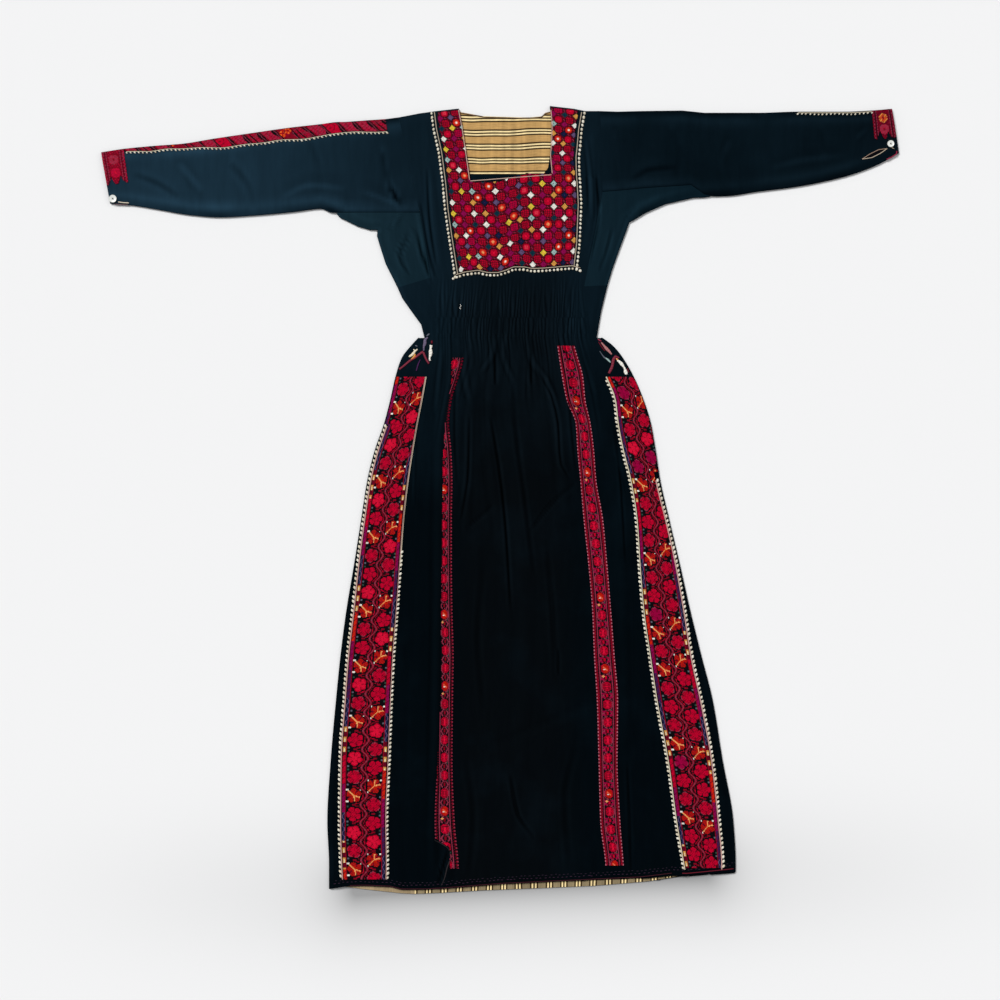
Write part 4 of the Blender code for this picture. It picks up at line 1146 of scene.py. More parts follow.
def cuff_chart(across, down, rows, kinds):
    """Two rosettes, one over the other, on a filled ground between dotted rails."""
    pale = kinds[0] == "c"
    across, down, chart, work = start_chart(across, down, "wine" if pale else "deep")
    work((across + down) % 3 == 0, "deep" if pale else "wine")
    work(pale & ((across + 2 * down) % 5 == 0), "raspberry")
    for heart, kind in zip((0.27 * rows, 0.66 * rows), kinds):
        i, j = across - 11.5, down - heart
        r = np.hypot(i, 0.9 * j)
        work((r < 6.6) & (r > 5.4), "wine" if pale else "deep")
        work(r < 5.4, {"c": "rose", "g": "wine"}.get(kind, "raspberry"))
        work((r < 5.4) & (np.round(i + j) % 3 == 0), {"g": "gold"}.get(kind, "crimson"))
        work((r < 4.2) & (kind == "g") & (np.round(i - j) % 2 == 0), "orange")
        work((r < 1.5), "wine" if kind in "cg" else "bright")
    side = np.minimum(across, 23 - across)
    work(side <= 4, "wine" if pale else "deep")
    work(pale & (side <= 2) & ((2 * across + down) % 5 == 0), "rose")
    work(side == 3, "deep" if pale else "ground")
    work((side == 4) & (down % 3 > 0), "rose")
    work((side == 5) & (down % 2 == 0), "deep")
    work((side == 1) & (down % 4 < 2), "rose")
    work((side == 2) & (down % 4 > 1), "deep")
    work((side == 0) & (down % 4 > 1), "raspberry" if pale else "wine")
    return chart


SLEEVE_LEAVES = "lhlohlrlhlohlrl"


def sleeve_chart(down, along):
    """Slanting leaves close together, a rosette here and there."""
    down, along, chart, work = start_chart(down, along)
    slant = along - 0.95 * down + 12
    turn = np.floor(slant / 19)
    part = slant - 19 * turn
    kind = picked(SLEEVE_LEAVES, turn)
    leaf = (part > 0.5) & (part < 14.5 + 1.6 * np.sin(down / 3.0 + turn))
    work(leaf, "raspberry")
    work(leaf & ((along + 2 * down) % 5 < 2), "rose")
    work(leaf & ((part < 1.8) | ((along + down) % 5 == 0)), "wine")
    work(leaf & (kind == "h") & ((along + 2 * down) % 4 < 2), "wine")
    work(leaf & (kind == "h") & (abs(part - 6) < 0.8), "ground")
    work(leaf & (kind == "r"), "crimson")
    work(leaf & (kind == "l") & (abs(part - 7) < 0.8) & (down % 2 == 0), "wine")
    work((part > 16.4) & (part < 17.4), "rose")
    work(leaf & (kind == "o"), "wine")
    for middle, depth, size in ((5.0, 7.5, 4.6), (13.5, 4.5, 3.8)):  # a large and a small rosette side by side
        i, j = (part - middle) + 0.95 * (down - depth), down - depth
        r = np.hypot(i, j)
        here = (kind == "o") | ((kind == "r") & (middle < 6))
        work(here & (r < size + 1.2), "wine")
        work(here & (r < size), "crimson")
        work((kind == "o") & (r < size), "flame")
        work((kind == "o") & (r < size) & (np.cos(5 * np.arctan2(j, i)) > 0.1), "orange")
        work(here & (r < 1.3), "wine")
    work(down == 0, "wine")
    return chart


def stitch_colours(chart, seed):
    """Linear colours of a chart's stitches, each dyed a little unlike its neighbours."""
    dye = np.random.default_rng(seed)
    return linear(list(THREADS.values()))[chart] * (0.88 + 0.44 * (dye.random(chart.shape) - 0.5))[..., None]


STITCH_LIFT = 1.3
STITCH_DEPTH = 1.0
EDGE_SHADE = 0.6


def round_edge(x, drop):
    """How far a piece that lies on the front follows the folded edge down."""
    inside = np.clip(FOLD_RADIUS - from_edge(x, drop), 0, FOLD_RADIUS * 0.98)
    return FOLD_RADIUS - np.sqrt(FOLD_RADIUS ** 2 - inside ** 2)


def on_front(x, drop, lift):
    return front_top(x, drop) + lift - round_edge(x, drop)


def embroider(name, x, drop, chart, slot, seed, keep=None):
    """A sheet of stitches, one face each, its free edges turned down to the cloth under it."""
    keep = np.ones(chart.shape, bool) if keep is None else keep
    top = in_frame(x, drop, on_front(x, drop, STITCH_LIFT))
    low = in_frame(x, drop, on_front(x, drop, STITCH_LIFT - STITCH_DEPTH))
    spots = np.arange(x.size).reshape(x.shape)
    a, b, c, d = spots[:-1, :-1], spots[:-1, 1:], spots[1:, 1:], spots[1:, :-1]
    colours = stitch_colours(chart, seed)
    row, column = np.indices(chart.shape)
    faces, threads = [np.stack((a, d, c, b), -1)[keep]], [colours[keep]]
    uvs = [np.stack([np.stack((column + u, row + v), -1) for u, v in ((0, 1), (0, 0), (1, 0), (1, 1))], -2)[keep]]
    padded = np.pad(keep, 1)
    before, level, after = slice(0, -2), slice(1, -1), slice(2, None)
    for neighbour, start, end in (((before, level), a, b), ((after, level), c, d), ((level, before), d, a),
                                  ((level, after), b, c)):
        free = keep & ~padded[neighbour]
        s, e = start[free], end[free]
        faces.append(np.stack((s, e, e + x.size, s + x.size), -1))
        threads.append(colours[free] * EDGE_SHADE)
        uvs.append(np.full((len(s), 4, 2), 0.5))
    mesh, _ = make_mesh(name, np.concatenate((top, low)), np.concatenate(faces), smooth=False)
    paint_mesh(mesh, np.concatenate(uvs), np.repeat(np.concatenate(threads), 4, 0))
    return add_piece(name, mesh, "cotton_cross_stitch", slot)


def work_band(node, slot, seed, x, drop, chart, keep, patch_x, patch_drop, patch_keep=None):
    """A worked piece: its ground cloth over a coarse grid of places, and the stitches over a fine one."""
    x, drop = np.broadcast_arrays(x, drop)
    patch_x, patch_drop = np.broadcast_arrays(patch_x, patch_drop)
    ground = sew_cloth(node, patch_x, patch_drop, on_front(patch_x, patch_drop, SEWN_ON), "band_ground_cotton", slot,
                       thickness=0.8, keep=patch_keep)
    embroider(node + "_stitches", x, drop, chart, slot, seed, keep)


STRAP_ROWS, FIELD_ROWS = 81, 97
CHEST_COLUMNS = (0, 26, 108, 136)
CHEST_STOPS = (5, 9, 25, 29.3)


def chest_grid():
    """x and drop of the corners of the chest panel's stitches."""
    across = np.interp(np.arange(CHEST_COLUMNS[-1] + 1), CHEST_COLUMNS, CHEST_STOPS)
    slope = ease((across - 13) / 8)
    neck, level = 133.5 - 14.5 * slope, 290.0 - 9.0 * slope
    _, top = shoulder_spot(across, 3.2)
    bottom = np.interp(bodice_x(across, 290.0), *zip(*CHEST_HEM)) - 7.4
    strap, field = np.linspace(0, 1, STRAP_ROWS + 1)[:-1, None], np.linspace(0, 1, FIELD_ROWS + 1)[:, None]
    drop = np.concatenate((top + (neck - top) * strap,
                           neck + (level - neck) * field + (bottom - level) * ease((field - 0.5) / 0.5)))
    return bodice_x(across + 0 * drop, drop), drop


def make_chest_panel():
    x, drop = chest_grid()
    rows, columns = STRAP_ROWS + FIELD_ROWS, CHEST_COLUMNS[-1]
    chart = chest_chart(np.arange(columns), np.arange(rows)[::-1, None])
    left, right = CHEST_COLUMNS[1:3]
    keep = np.ones(chart.shape, bool)
    keep[:STRAP_ROWS, left:right] = False
    down = np.union1d(np.arange(0, rows + 1, 4), (STRAP_ROWS, rows))
    across = np.union1d(np.arange(0, columns + 1, 4), (left, right))
    patch = np.ix_(down, across)
    work_band("chest_panel", "chest_stitch", 11, x, drop, chart, keep, x[patch], drop[patch],
              keep[np.ix_(down[:-1], across[:-1])])


WIDE_TOP = 474
WIDE_COLUMNS, WIDE_STITCH = 48, 1.463  # stitches across, and the height of one


def wide_band_edges(side, drop):
    """x of the left and the right edge of a wide band. High up it ends at the skirt's own folded edge."""
    outward = -1 if side == "left" else 1
    rim = rail("edge_" + side, drop) - outward * 1.2
    braid = rail("braid_" + side, drop) - outward * 2.6
    within = outward * np.minimum(outward * braid, outward * rim)
    outer = np.where(drop < (556 if side == "left" else 640), rim, within)
    inner = rail("lace_" + side, drop) + outward * 2.3
    return (outer, inner) if side == "left" else (inner, outer)


def make_wide_band(side, end):
    rows = int((end - WIDE_TOP) / WIDE_STITCH)
    drops = np.linspace(WIDE_TOP, end, rows + 1)[:, None]
    left, right = wide_band_edges(side, drops)
    columns = np.arange(WIDE_COLUMNS + 1)
    x = left + np.maximum((right - left) / WIDE_COLUMNS, 1.27) * columns
    within = x[:, 1:] <= right + 0.3
    chart = wide_chart(columns[:-1], np.arange(rows)[:, None], side)
    spots = np.r_[drops[:-1:4], drops[-1:]]
    left, right = wide_band_edges(side, spots)
    work_band("wide_band_" + side, "wide_stitch", 21 if side == "left" else 22, x, drops, chart,
              within[:-1] & within[1:], left + (right - left) * np.linspace(0, 1, 13), spots)


NARROW_TOP, NARROW_END = {"left": 441, "right": 420}, {"left": 1332, "right": 1327}
NARROW_COLUMNS, NARROW_STITCH = 20, 1.483


def above_fold(x, drop, end, line):
    """Where the left narrow band shows: a fold of the skirt covers its foot, left of x = `end`."""
    return (x[1:, :-1] > end) | (drop[1:] < line + 0.56 * (x[1:, :-1] + 114))


def make_narrow_band(side):
    rows = int((NARROW_END[side] - NARROW_TOP[side]) / NARROW_STITCH)
    drops = np.linspace(NARROW_TOP[side], NARROW_END[side], rows + 1)[:, None]
    out, inside = rail("narrow_%s_out" % side, drops), rail("narrow_%s_in" % side, drops)
    columns, shares = np.arange(NARROW_COLUMNS + 1), np.linspace(0, 1, 11)
    spots = np.union1d(np.arange(0, rows + 1, 3), rows)
    if side == "left":
        x = inside - np.clip((inside - out) / NARROW_COLUMNS, 1.42, 1.9) * (NARROW_COLUMNS - columns)
        within = x[:, :-1] >= out - 0.4
        keep = within[:-1] & within[1:] & above_fold(x, drops, -88, 1281)
        patch_x = (out + (inside - out) * shares)[spots]
        patch_keep = above_fold(patch_x, drops[spots], -90, 1282)
    else:
        x = inside + (out - inside) / NARROW_COLUMNS * columns
        patch_x = (inside + (out - inside) * shares)[spots]
        keep = patch_keep = None
    chart = narrow_chart(columns[:-1], np.arange(rows)[:, None], 3 if side == "left" else 9, side == "right")
    work_band("narrow_band_" + side, "narrow_stitch", 31 if side == "left" else 32, x, drops, chart, keep, patch_x,
              drops[spots], patch_keep)


def sleeve_spot(side, way, distance):
    """x and drop at `way` mm along a sleeve's top edge from the cuff and `distance` down from that edge."""
    table = np.array(SLEEVES[side], float)
    ways = abs(table[:, 0] - table[0, 0])
    top_x, top_drop, low_x, low_drop = (flow(ways, column, way) for column in table.T)
    share = distance / np.hypot(low_x - top_x, low_drop - top_drop)
    return top_x + (low_x - top_x) * share, top_drop + (low_drop - top_drop) * share


SLEEVE_BAND_START, SLEEVE_BAND_END = 40.0, 497.0  # along the sleeve from its cuff
SLEEVE_ROWS, SLEEVE_STITCH = 15, 1.46


def sleeve_band_width(way):
    ways = [row[0] - SLEEVES["left"][0][0] for row in SLEEVES["left"]]
    wave = 1.6 * np.sin(way / 27.0) + 0.8 * np.sin(way / 11.0 + 1)
    return flow(ways, SLEEVE_BAND, way) + wave * ease((way - 60) / 60) * ease((SLEEVE_BAND_END - way) / 60)


def make_sleeve_band():
    count = int((SLEEVE_BAND_END - SLEEVE_BAND_START) / SLEEVE_STITCH)
    ways = np.linspace(SLEEVE_BAND_START, SLEEVE_BAND_END, count + 1)
    rows = np.arange(SLEEVE_ROWS + 1)[:, None]
    distance = sleeve_band_width(ways) - 1.42 * (SLEEVE_ROWS - rows)
    x, drop = sleeve_spot("left", ways, np.maximum(distance, 0.6))
    chart = sleeve_chart(rows[:-1], np.arange(count))
    ways = np.linspace(SLEEVE_BAND_START, SLEEVE_BAND_END, 118)
    depth = 1.0 + (sleeve_band_width(ways) - 1.0) * np.linspace(0, 1, 6)[:, None]
    work_band("sleeve_band_left", "sleeve_stitch", 41, x, drop, chart, distance[:-1, :-1] >= 0.5,
              *sleeve_spot("left", ways, depth))


# how many stitches short of a cuff band's end each of its columns stops
CUFF_STEPS = {"left": "001358963100013698532100", "right": "110247996310025885210011"}


def make_cuff_band(side, depth):
    rows, steps_up = int(depth / SLEEVE_STITCH), np.array([int(step) for step in CUFF_STEPS[side]])
    ways = np.linspace(0.4, 39.4, 25) if side == "left" else np.linspace(36.0, 0.4, 25)
    x, drop = sleeve_spot(side, ways, np.linspace(1.0, depth, rows + 1)[:, None])
    down = np.arange(rows)[:, None]
    chart = cuff_chart(np.arange(24), down, rows, "cs" if side == "left" else "gc")
    patch = np.ix_(np.union1d(np.arange(0, rows - 8, 3), rows - 9), np.arange(0, 25, 3))
    work_band("cuff_band_" + side, "sleeve_stitch", 51 if side == "left" else 52, x, drop, chart,
              down < rows - steps_up, x[patch], drop[patch])


# ---- cords, beads and laid threads ----
def tube(points, across, high, sides=6):
    """Points, faces and uv of a closed cord along `points` (metres), of half widths and half heights."""
    points = np.asarray(points, float)
    count = len(points)
    across, high = np.broadcast_to(across, count)[:, None], np.broadcast_to(high, count)[:, None]
    along = np.gradient(points, axis=0)
    along /= np.maximum(np.linalg.norm(along, axis=1), 1e-9)[:, None]
    side = np.c_[along[:, 1], -along[:, 0], np.zeros(count)]
    side /= np.maximum(np.linalg.norm(side, axis=1), 1e-9)[:, None]
    up = np.cross(side, along)
    turns = 2 * np.pi * np.arange(sides) / sides
    rings = points[:, None] + side[:, None] * (across * np.cos(turns))[..., None] \
        + up[:, None] * (high * np.sin(turns))[..., None]
    spots = np.arange(count * sides).reshape(count, sides)
    turned = np.roll(spots, -1, axis=1)
    walls = np.stack((spots[:-1], spots[1:], turned[1:], turned[:-1]), -1).reshape(-1, 4)
    caps = np.array([spots[end, corners[::-1] if end else corners] for end in (0, -1)
                     for corners in ([0, i, i + 1, i + 2] for i in range(1, sides - 1, 2))])
    far = np.r_[0, np.cumsum(np.linalg.norm(np.diff(points, axis=0), axis=1))]
    width = max(float(np.mean(across)), 1e-5) * 2
    grid = np.stack(np.meshgrid(far / width, np.arange(sides + 1) / sides, indexing="ij"), -1)
    uv = np.stack((grid[:-1, :-1], grid[1:, :-1], grid[1:, 1:], grid[:-1, 1:]), 2)
    uv = np.concatenate((uv.reshape(-1, 4, 2), np.full((len(caps), 4, 2), 0.5)))
    return rings.reshape(-1, 3), np.concatenate((walls, caps)), uv


BEAD_SIDES = 6
BEAD_LEVELS = ((0.62, -0.9), (1.0, -0.25), (0.9, 0.45), (0.45, 0.95))


def bead_shapes(size, at, heading, scale):
    """Small closed grains with their flatter sides down, each turned to its heading. Points and faces of all."""
    turns = 2 * np.pi * np.arange(BEAD_SIDES) / BEAD_SIDES
    rings = np.array([[(math.cos(t) * r, math.sin(t) * r, level) for t in turns] for r, level in BEAD_LEVELS])
    flat = rings.reshape(-1, 3) * size * 0.5 * MM
    flat = flat[None] * np.c_[scale, scale, np.ones(len(scale))][:, None]
    c, s = np.cos(heading)[:, None], np.sin(heading)[:, None]
    spun = np.stack((flat[..., 0] * c - flat[..., 1] * s, flat[..., 0] * s + flat[..., 1] * c, flat[..., 2]), -1)
    spots = np.arange(len(flat[0])).reshape(-1, BEAD_SIDES)
    turned = np.roll(spots, -1, axis=1)
    walls = np.stack((spots[:-1], turned[:-1], turned[1:], spots[1:]), -1).reshape(-1, 4)
    faces = np.concatenate((walls, ([3, 2, 1, 0], [0, 5, 4, 3], [18, 19, 20, 21], [18, 21, 22, 23])))
    every = faces + spots.size * np.arange(len(at))[:, None, None]
    return (spun + at[:, None]).reshape(-1, 3), every.reshape(-1, 4)


def even_places(path, pitch):
    """Places at even steps along a path of (x, drop), with the way the path runs at each."""
    path = np.asarray(path, float)
    far = np.r_[0, np.cumsum(np.hypot(*np.diff(path, axis=0).T))]
    at = np.linspace(0, far[-1], max(2, int(round(far[-1] / pitch))) + 1)
    x, drop = np.interp(at, far, path[:, 0]), np.interp(at, far, path[:, 1])
    return x, drop, np.arctan2(-np.gradient(drop), np.gradient(x))


CREAMS = ((232, 226, 206), (222, 212, 188), (238, 232, 216), (214, 206, 186))
CREAM, DULL_CREAM, PALE_PINK = (218, 206, 180), (176, 162, 142), (204, 160, 152)
NECK_PINK, SLIT_CREAM = (206, 176, 160), (206, 190, 168)


class Heap:
    """Gathers small closed shapes of several colours into one mesh."""

    def __init__(self):
        self.points, self.faces, self.uvs, self.threads, self.count = [], [], [], [], 0

    def add(self, points, faces, uv, colour):
        self.points.append(points)
        self.faces.append(faces + self.count)
        self.uvs.append(uv)
        self.threads.append(np.broadcast_to(linear(colour), (len(faces), 3)).repeat(4, 0))
        self.count += len(points)

    def cord(self, path, radius, colour, lift=None, pitch=3.0, high=None, sides=6, level=None):
        """A cord laid along a path on the front, resting on the cloth, or at one level. `radius` may be a row of
        half widths."""
        x, drop, _ = even_places(path, pitch)
        half = np.interp(np.linspace(0, 1, len(x)), np.linspace(0, 1, np.size(radius)), np.ravel(radius))
        high = float(np.min(half)) if high is None else high
        z = on_front(x, drop, SEWN_ON + high if lift is None else lift) if level is None else level
        self.add(*tube(in_frame(x, drop, z), half * MM, high * MM, sides), colour)

    def beads(self, path, pitch, size, lean, seed):
        """A row of small cream stitches like beads, each `size` (long, wide, high) and leaning off the row's way."""
        hand = np.random.default_rng(seed)
        x, drop, way = even_places(path, pitch)
        count = len(x)
        shove, turn, scale = hand.normal(0, 0.25, count), hand.normal(0, 0.12, count), hand.normal(1, 0.07, count)
        x, drop = x + np.cos(way) * shove, drop - np.sin(way) * shove
        z = on_front(x, drop, SEWN_ON + 0.45 * size[2])
        points, faces = bead_shapes(size, in_frame(x, drop, z), way + lean + turn, scale)
        uv = np.tile(((0.25, 0.2), (0.75, 0.2), (0.75, 0.8), (0.25, 0.8)), (len(faces), 1, 1))
        creams = np.array(CREAMS)[hand.integers(0, len(CREAMS), count)]
        self.add(points, faces, uv, creams.repeat(len(faces) // count, 0))

    def piece(self, name, slot, *replaced):
        mesh, _ = make_mesh(name, np.concatenate(self.points), np.concatenate(self.faces))
        paint_mesh(mesh, np.concatenate(self.uvs), np.concatenate(self.threads))
        return add_piece(name, mesh, "plied_cotton", slot, *replaced)


def rail_path(name, start, end, aside=0.0):
    drops = np.linspace(start, end, 60)
    return np.c_[rail(name, drops) + aside, drops]


def make_wide_braids(side):
    outward, end = (-1, 1351) if side == "left" else (1, 1334)
    heap = Heap()
    if side == "left":
        heap.cord(rail_path("lace_left", 474, end, -1.2), (0.6, 0.5, 0.6, 0.7, 0.8), PALE_PINK, 1.8)
        heap.cord(rail_path("lace_left", 474, 800, 0.3), (0.7, 0.3, 0.6, 0.3, 0.8), CREAM, 1.5, high=0.5)
        heap.beads(rail_path("lace_left", 780, end - 3, 1.4), 7.6, (6.4, 4.4, 2.1), -0.55, 61)
    else:
        heap.cord(rail_path("lace_right", 474, end, 1.4), (1.2, 0.9, 0.8, 0.9, 1.0), CREAM, 1.8)
        heap.beads(rail_path("lace_right", 482, end - 3, -1.2), 7.4, (6.2, 4.2, 2.1), 0.55, 61)
    heap.piece("wide_braid_inner_%s_threads" % side, "braid", "wide_braid_inner_" + side)
    heap, start = Heap(), 560 if side == "left" else 655
    heap.cord(rail_path("braid_" + side, start, end, -outward * 1.9), 1.1, PALE_PINK, 1.7, high=0.8)
    heap.beads(rail_path("braid_" + side, start, end - 6, outward * 1.0), 8.0, (6.9, 4.5, 2.1), -0.52 * outward, 62)
    heap.piece("wide_braid_outer_%s_threads" % side, "braid", "wide_braid_outer_" + side)


def chest_side(line, toward, start, end, aside=0.0):
    """A path down one side of the chest panel. The right one lies further out below the shoulder."""
    drops = np.linspace(start, end, 60)
    out = 1.0 + 2.6 * ease((130 - drops) / 60) if toward > 0 else 0.0
    return np.c_[straight(line, drops) + out - toward * aside, drops]


def make_chest_braid():
    heap = Heap()
    hem = np.array(CHEST_HEM, float)
    heap.beads(hem, 6.7, (5.0, 5.0, 2.6), 0.0, 63)
    heap.cord(hem[1:] - (0, 4.9), 0.9, DULL_CREAM, 1.7, high=0.8)
    for line, toward, end in ((CHEST_LEFT, -1, 300), (CHEST_RIGHT, 1, 286)):
        heap.beads(chest_side(line, toward, 14, end), 7.1, (6.2, 4.6, 2.5), 0.25 * toward, 64 + toward)
        heap.cord(chest_side(line, toward, 12, end - 4, 5.3), 0.9, DULL_CREAM, 1.7, high=0.8)
    heap.piece("chest_braid_threads", "braid", "chest_braid")


def make_neck_piping():
    heap = Heap()
    for line, foot, toward in ((NECK_LEFT, 130, -1.2), (NECK_RIGHT, 119, 1.2)):
        drops = np.linspace(8, foot, 40)
        heap.cord(np.c_[straight(line, drops) + toward, drops], 0.8, NECK_PINK, 1.1)
    columns = np.linspace(*NECK_COLUMNS, 40)
    drop = np.interp(columns, NECK_COLUMNS, (131.5, 120.5)) + 0.6
    heap.cord(np.c_[bodice_x(columns, drop), drop], 0.8, NECK_PINK, 1.1)
    heap.cord(np.array(BACK_NECK) + (0, 1.6), 0.9, (96, 72, 50), high=0.5, level=CLOTH + 1.8)
    heap.piece("neck_piping_thread", "piping")


def make_sleeve_braids():
    left, right = np.linspace(44, 497, 110), np.linspace(36, 165, 40)
    foot = sleeve_band_width(left)
    for side, ways, cord, beads, pitch, size, lean, seed in (
            ("left", left, foot + 1.6, foot + 3.6, 7.2, (4.8, 2.7, 2.0), -0.7, 66),
            ("right", right, 3.0, 5.4 + 0.5 * np.sin(right / 9), 7.4, (4.2, 3.0, 2.0), 0.8, 67)):
        heap = Heap()
        heap.cord(np.transpose(sleeve_spot(side, ways, cord)), 0.6, CREAM, 1.4)
        heap.beads(np.transpose(sleeve_spot(side, ways, beads)), pitch, size, lean, seed)
        heap.piece("sleeve_braid_%s_threads" % side, "braid", "sleeve_braid_" + side)


# each strip of satin stitch at the hips: thread, half widths along it, and the places it runs through
HIP_MOTIFS = {
    "left": (
        ("grey", (1.2, 1.5, 1), (-123, 399), (-126, 401), (-128, 403)),
        ("dusk", (1.2, 2.6, 3, 1.6, 1.3), (-126, 405), (-131, 410), (-131, 415), (-133, 422), (-133, 429)),
        ("deep", (1.4, 1.8, 1.2), (-119, 411), (-119, 416)),
        ("white", (2.8, 1.7, 3.4, 2.8, 1.5, 1.6), (-120, 419), (-121, 425), (-121, 432), (-122, 438), (-123, 442),
         (-122, 446)),
        ("garnet", (2, 1.8, 1.9, 1.7, 1.6), (-134, 430), (-140, 434), (-149, 441), (-156, 445), (-167, 454),
         (-176, 461)),
        ("garnet", (2, 1.8, 1.7), (-134, 431), (-129, 443), (-124, 451)),
        ("cream", (1.2, 1.5, 2.4, 2.2, 1.3), (-144, 426), (-148, 429), (-152, 434), (-154, 436), (-159, 439)),
        ("cream", (0.9, 1.3), (-151, 426), (-148, 429)),
        ("gold", (1.2, 2, 1.2), (-148, 434), (-150, 439), (-155, 444)),
        ("orange", (0.9, 1.4, 0.9), (-147, 438), (-149, 441), (-152, 443)),
        ("purple", (0.8, 1.2, 1), (-139, 444), (-143, 453), (-146, 464)),
        ("grey", (0.8, 1.3, 0.8), (-148, 419), (-144, 421)),
    ),
    "right": (
        ("rose", (1, 1.3, 1), (171, 408), (174, 410), (177, 412)),
        ("shell", (1.2, 1.7, 2.8, 2.2, 1.2), (177, 414), (181, 419), (186, 425), (190, 429), (195, 435)),
        ("deep", (0.7, 1.1, 0.8), (172, 413), (177, 421), (183, 429)),
        ("garnet", (2.2, 2.6, 2.3, 2.5, 2), (202, 438), (198, 444), (196, 455), (190, 468)),
        ("garnet", (2, 1.4), (201, 438), (208, 441)), ("peach", (1.2, 1.6), (203, 442), (206, 445)),
        ("white", (1.6, 2.4, 3.2, 1.6, 1.8, 3.4, 2.2), (205, 445), (209, 448), (215, 455), (218, 460), (219, 464),
         (220, 467), (221, 470)),
        ("grey", (0.5, 0.8, 1.6), (174, 429), (180, 438), (184, 442)),
        ("mist", (0.8, 1.8, 1), (184, 441), (188, 444), (193, 449)),
        ("deep", (0.9, 1.2, 0.9), (222, 459), (225, 466)),
    ),
}


def make_hip_motifs(side):
    heap = Heap()
    for thread, halves, *path in HIP_MOTIFS[side]:
        line = smooth_path(path, 14) if len(path) > 2 else path
        heap.cord(line, halves, THREADS[thread], pitch=1.8, high=0.7, sides=8)
    heap.piece("hip_motif_%s_threads" % side, "braid")


def make_slits():
    heap = Heap()
    heap.cord(SLIT_LEFT, 0.9, (228, 214, 192), pitch=2.0)
    heap.cord(((-673, 172), (-662, 172.6), (-650, 173.4)), 0.7, (120, 92, 96), 0.5, 2.0)
    heap.piece("slit_piping_left_thread", "piping", "slit_piping_left")
    heap = Heap()
    heap.cord(SLIT_RIGHT[:4], 0.65, (168, 142, 124), pitch=2.0)
    heap.cord(SLIT_RIGHT[3:], 0.65, SLIT_CREAM, pitch=2.0)
    heap.cord(((675.5, 94), (685, 89.5), (692.5, 84.5), (693, 80)), 1.0, (150, 34, 66), pitch=1.5)
    heap.cord(((682, 72.5), (688.5, 76)), 0.5, SLIT_CREAM, pitch=2.0)
    heap.piece("slit_piping_right_thread", "piping", "slit_piping_right")
    upper, lower = smooth_path(SLIT_RIGHT[:4], 13), smooth_path(SLIT_RIGHT[3:][::-1], 13)
    x, drop = (a + (b - a) * np.linspace(0, 1, 5)[:, None] for a, b in zip(upper.T, lower.T))
    sew_cloth("slit_inside_right", x, drop, on_front(x, drop, 0.12), "band_ground_cotton", "piping",
                       thickness=0.2, replaces=False)


BUTTON_SHARE = {"left": 1.0, "right": 0.88}
BUTTON_DISH = 0.55  # how far a button's middle lies below its rim
BUTTON_SLOPE = 1.2  # width of the slope between
HOLES_OUT = 1.5  # from the middle to each hole


def make_button(side, sizes):
    """A flat sewn-through button with a low rim and four holes."""
    x, drop = BUTTONS[side]
    height = sizes.height / MM
    z = float(on_front(np.array(x, float), np.array(drop, float), SEWN_ON + height / 2))
    place = Vector((x * MM, (SHOULDER_Y - drop) * MM, z * MM))
    bpy.ops.object.select_all(action="DESELECT")
    bpy.ops.mesh.primitive_cylinder_add(vertices=36, radius=sizes.radius * BUTTON_SHARE[side], depth=sizes.height,
                                        location=place)
    button = bpy.context.object
    button.name = button.data.name = "button_%s_pearl" % side
    bpy.ops.object.mode_set(mode="EDIT")
    bpy.ops.mesh.select_mode(type="FACE")
    shape = bmesh.from_edit_mesh(button.data)
    for face in shape.faces:
        face.select_set(face.normal.z > 0.9)
    bmesh.update_edit_mesh(button.data)
    bpy.ops.mesh.inset(thickness=sizes.rim)
    bpy.ops.transform.translate(value=(0, 0, -BUTTON_DISH * MM))
    bpy.ops.mesh.inset(thickness=BUTTON_SLOPE * MM)
    bpy.ops.mesh.select_all(action="SELECT")
    bpy.ops.mesh.normals_make_consistent(inside=False)
    bpy.ops.object.mode_set(mode="OBJECT")
    for turn in (45, 135, 225, 315):
        angle = math.radians(turn)
        bpy.ops.object.select_all(action="DESELECT")
        bpy.ops.mesh.primitive_cylinder_add(
            vertices=12, radius=sizes.hole, depth=8 * MM,
            location=place + Vector((math.cos(angle), math.sin(angle), 0)) * HOLES_OUT * MM)
        cutter = bpy.context.object
        hole = button.modifiers.new("hole", "BOOLEAN")
        hole.operation, hole.solver, hole.object = "DIFFERENCE", "EXACT", cutter
        bpy.ops.object.select_all(action="DESELECT")
        button.select_set(True)
        bpy.context.view_layer.objects.active = button
        bpy.ops.object.modifier_apply(modifier=hole.name)
        bpy.data.objects.remove(cutter)
    bpy.ops.object.transform_apply(location=True, rotation=True, scale=True)
    bpy.ops.object.mode_set(mode="EDIT")
    bpy.ops.mesh.select_all(action="SELECT")
    bpy.ops.mesh.dissolve_limited(angle_limit=math.radians(1))
    bpy.ops.object.mode_set(mode="OBJECT")
    bpy.ops.object.shade_smooth_by_angle(angle=math.radians(40))
    button.data.materials.append(finish_named("pearl_button"))
    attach(button, "root")
    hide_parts("button_" + side)
    heap = Heap()
    for turn, lift in ((45, -0.45), (135, -0.35)):
        angle, along = math.radians(turn), np.array((-2.0, 0.0, 2.0))
        points = in_frame(x + along * math.cos(angle), drop - along * math.sin(angle), z + height / 2 + lift)
        heap.add(*tube(points, 0.45 * MM, 0.3 * MM), (22, 28, 30))
    heap.piece("button_%s_thread" % side, "button")


def hem_line(ends, rise):
    """A path `rise` mm above the front hem, through the x of `ends`."""
    return np.c_[ends, straight(FRONT_HEM, ends) - rise]


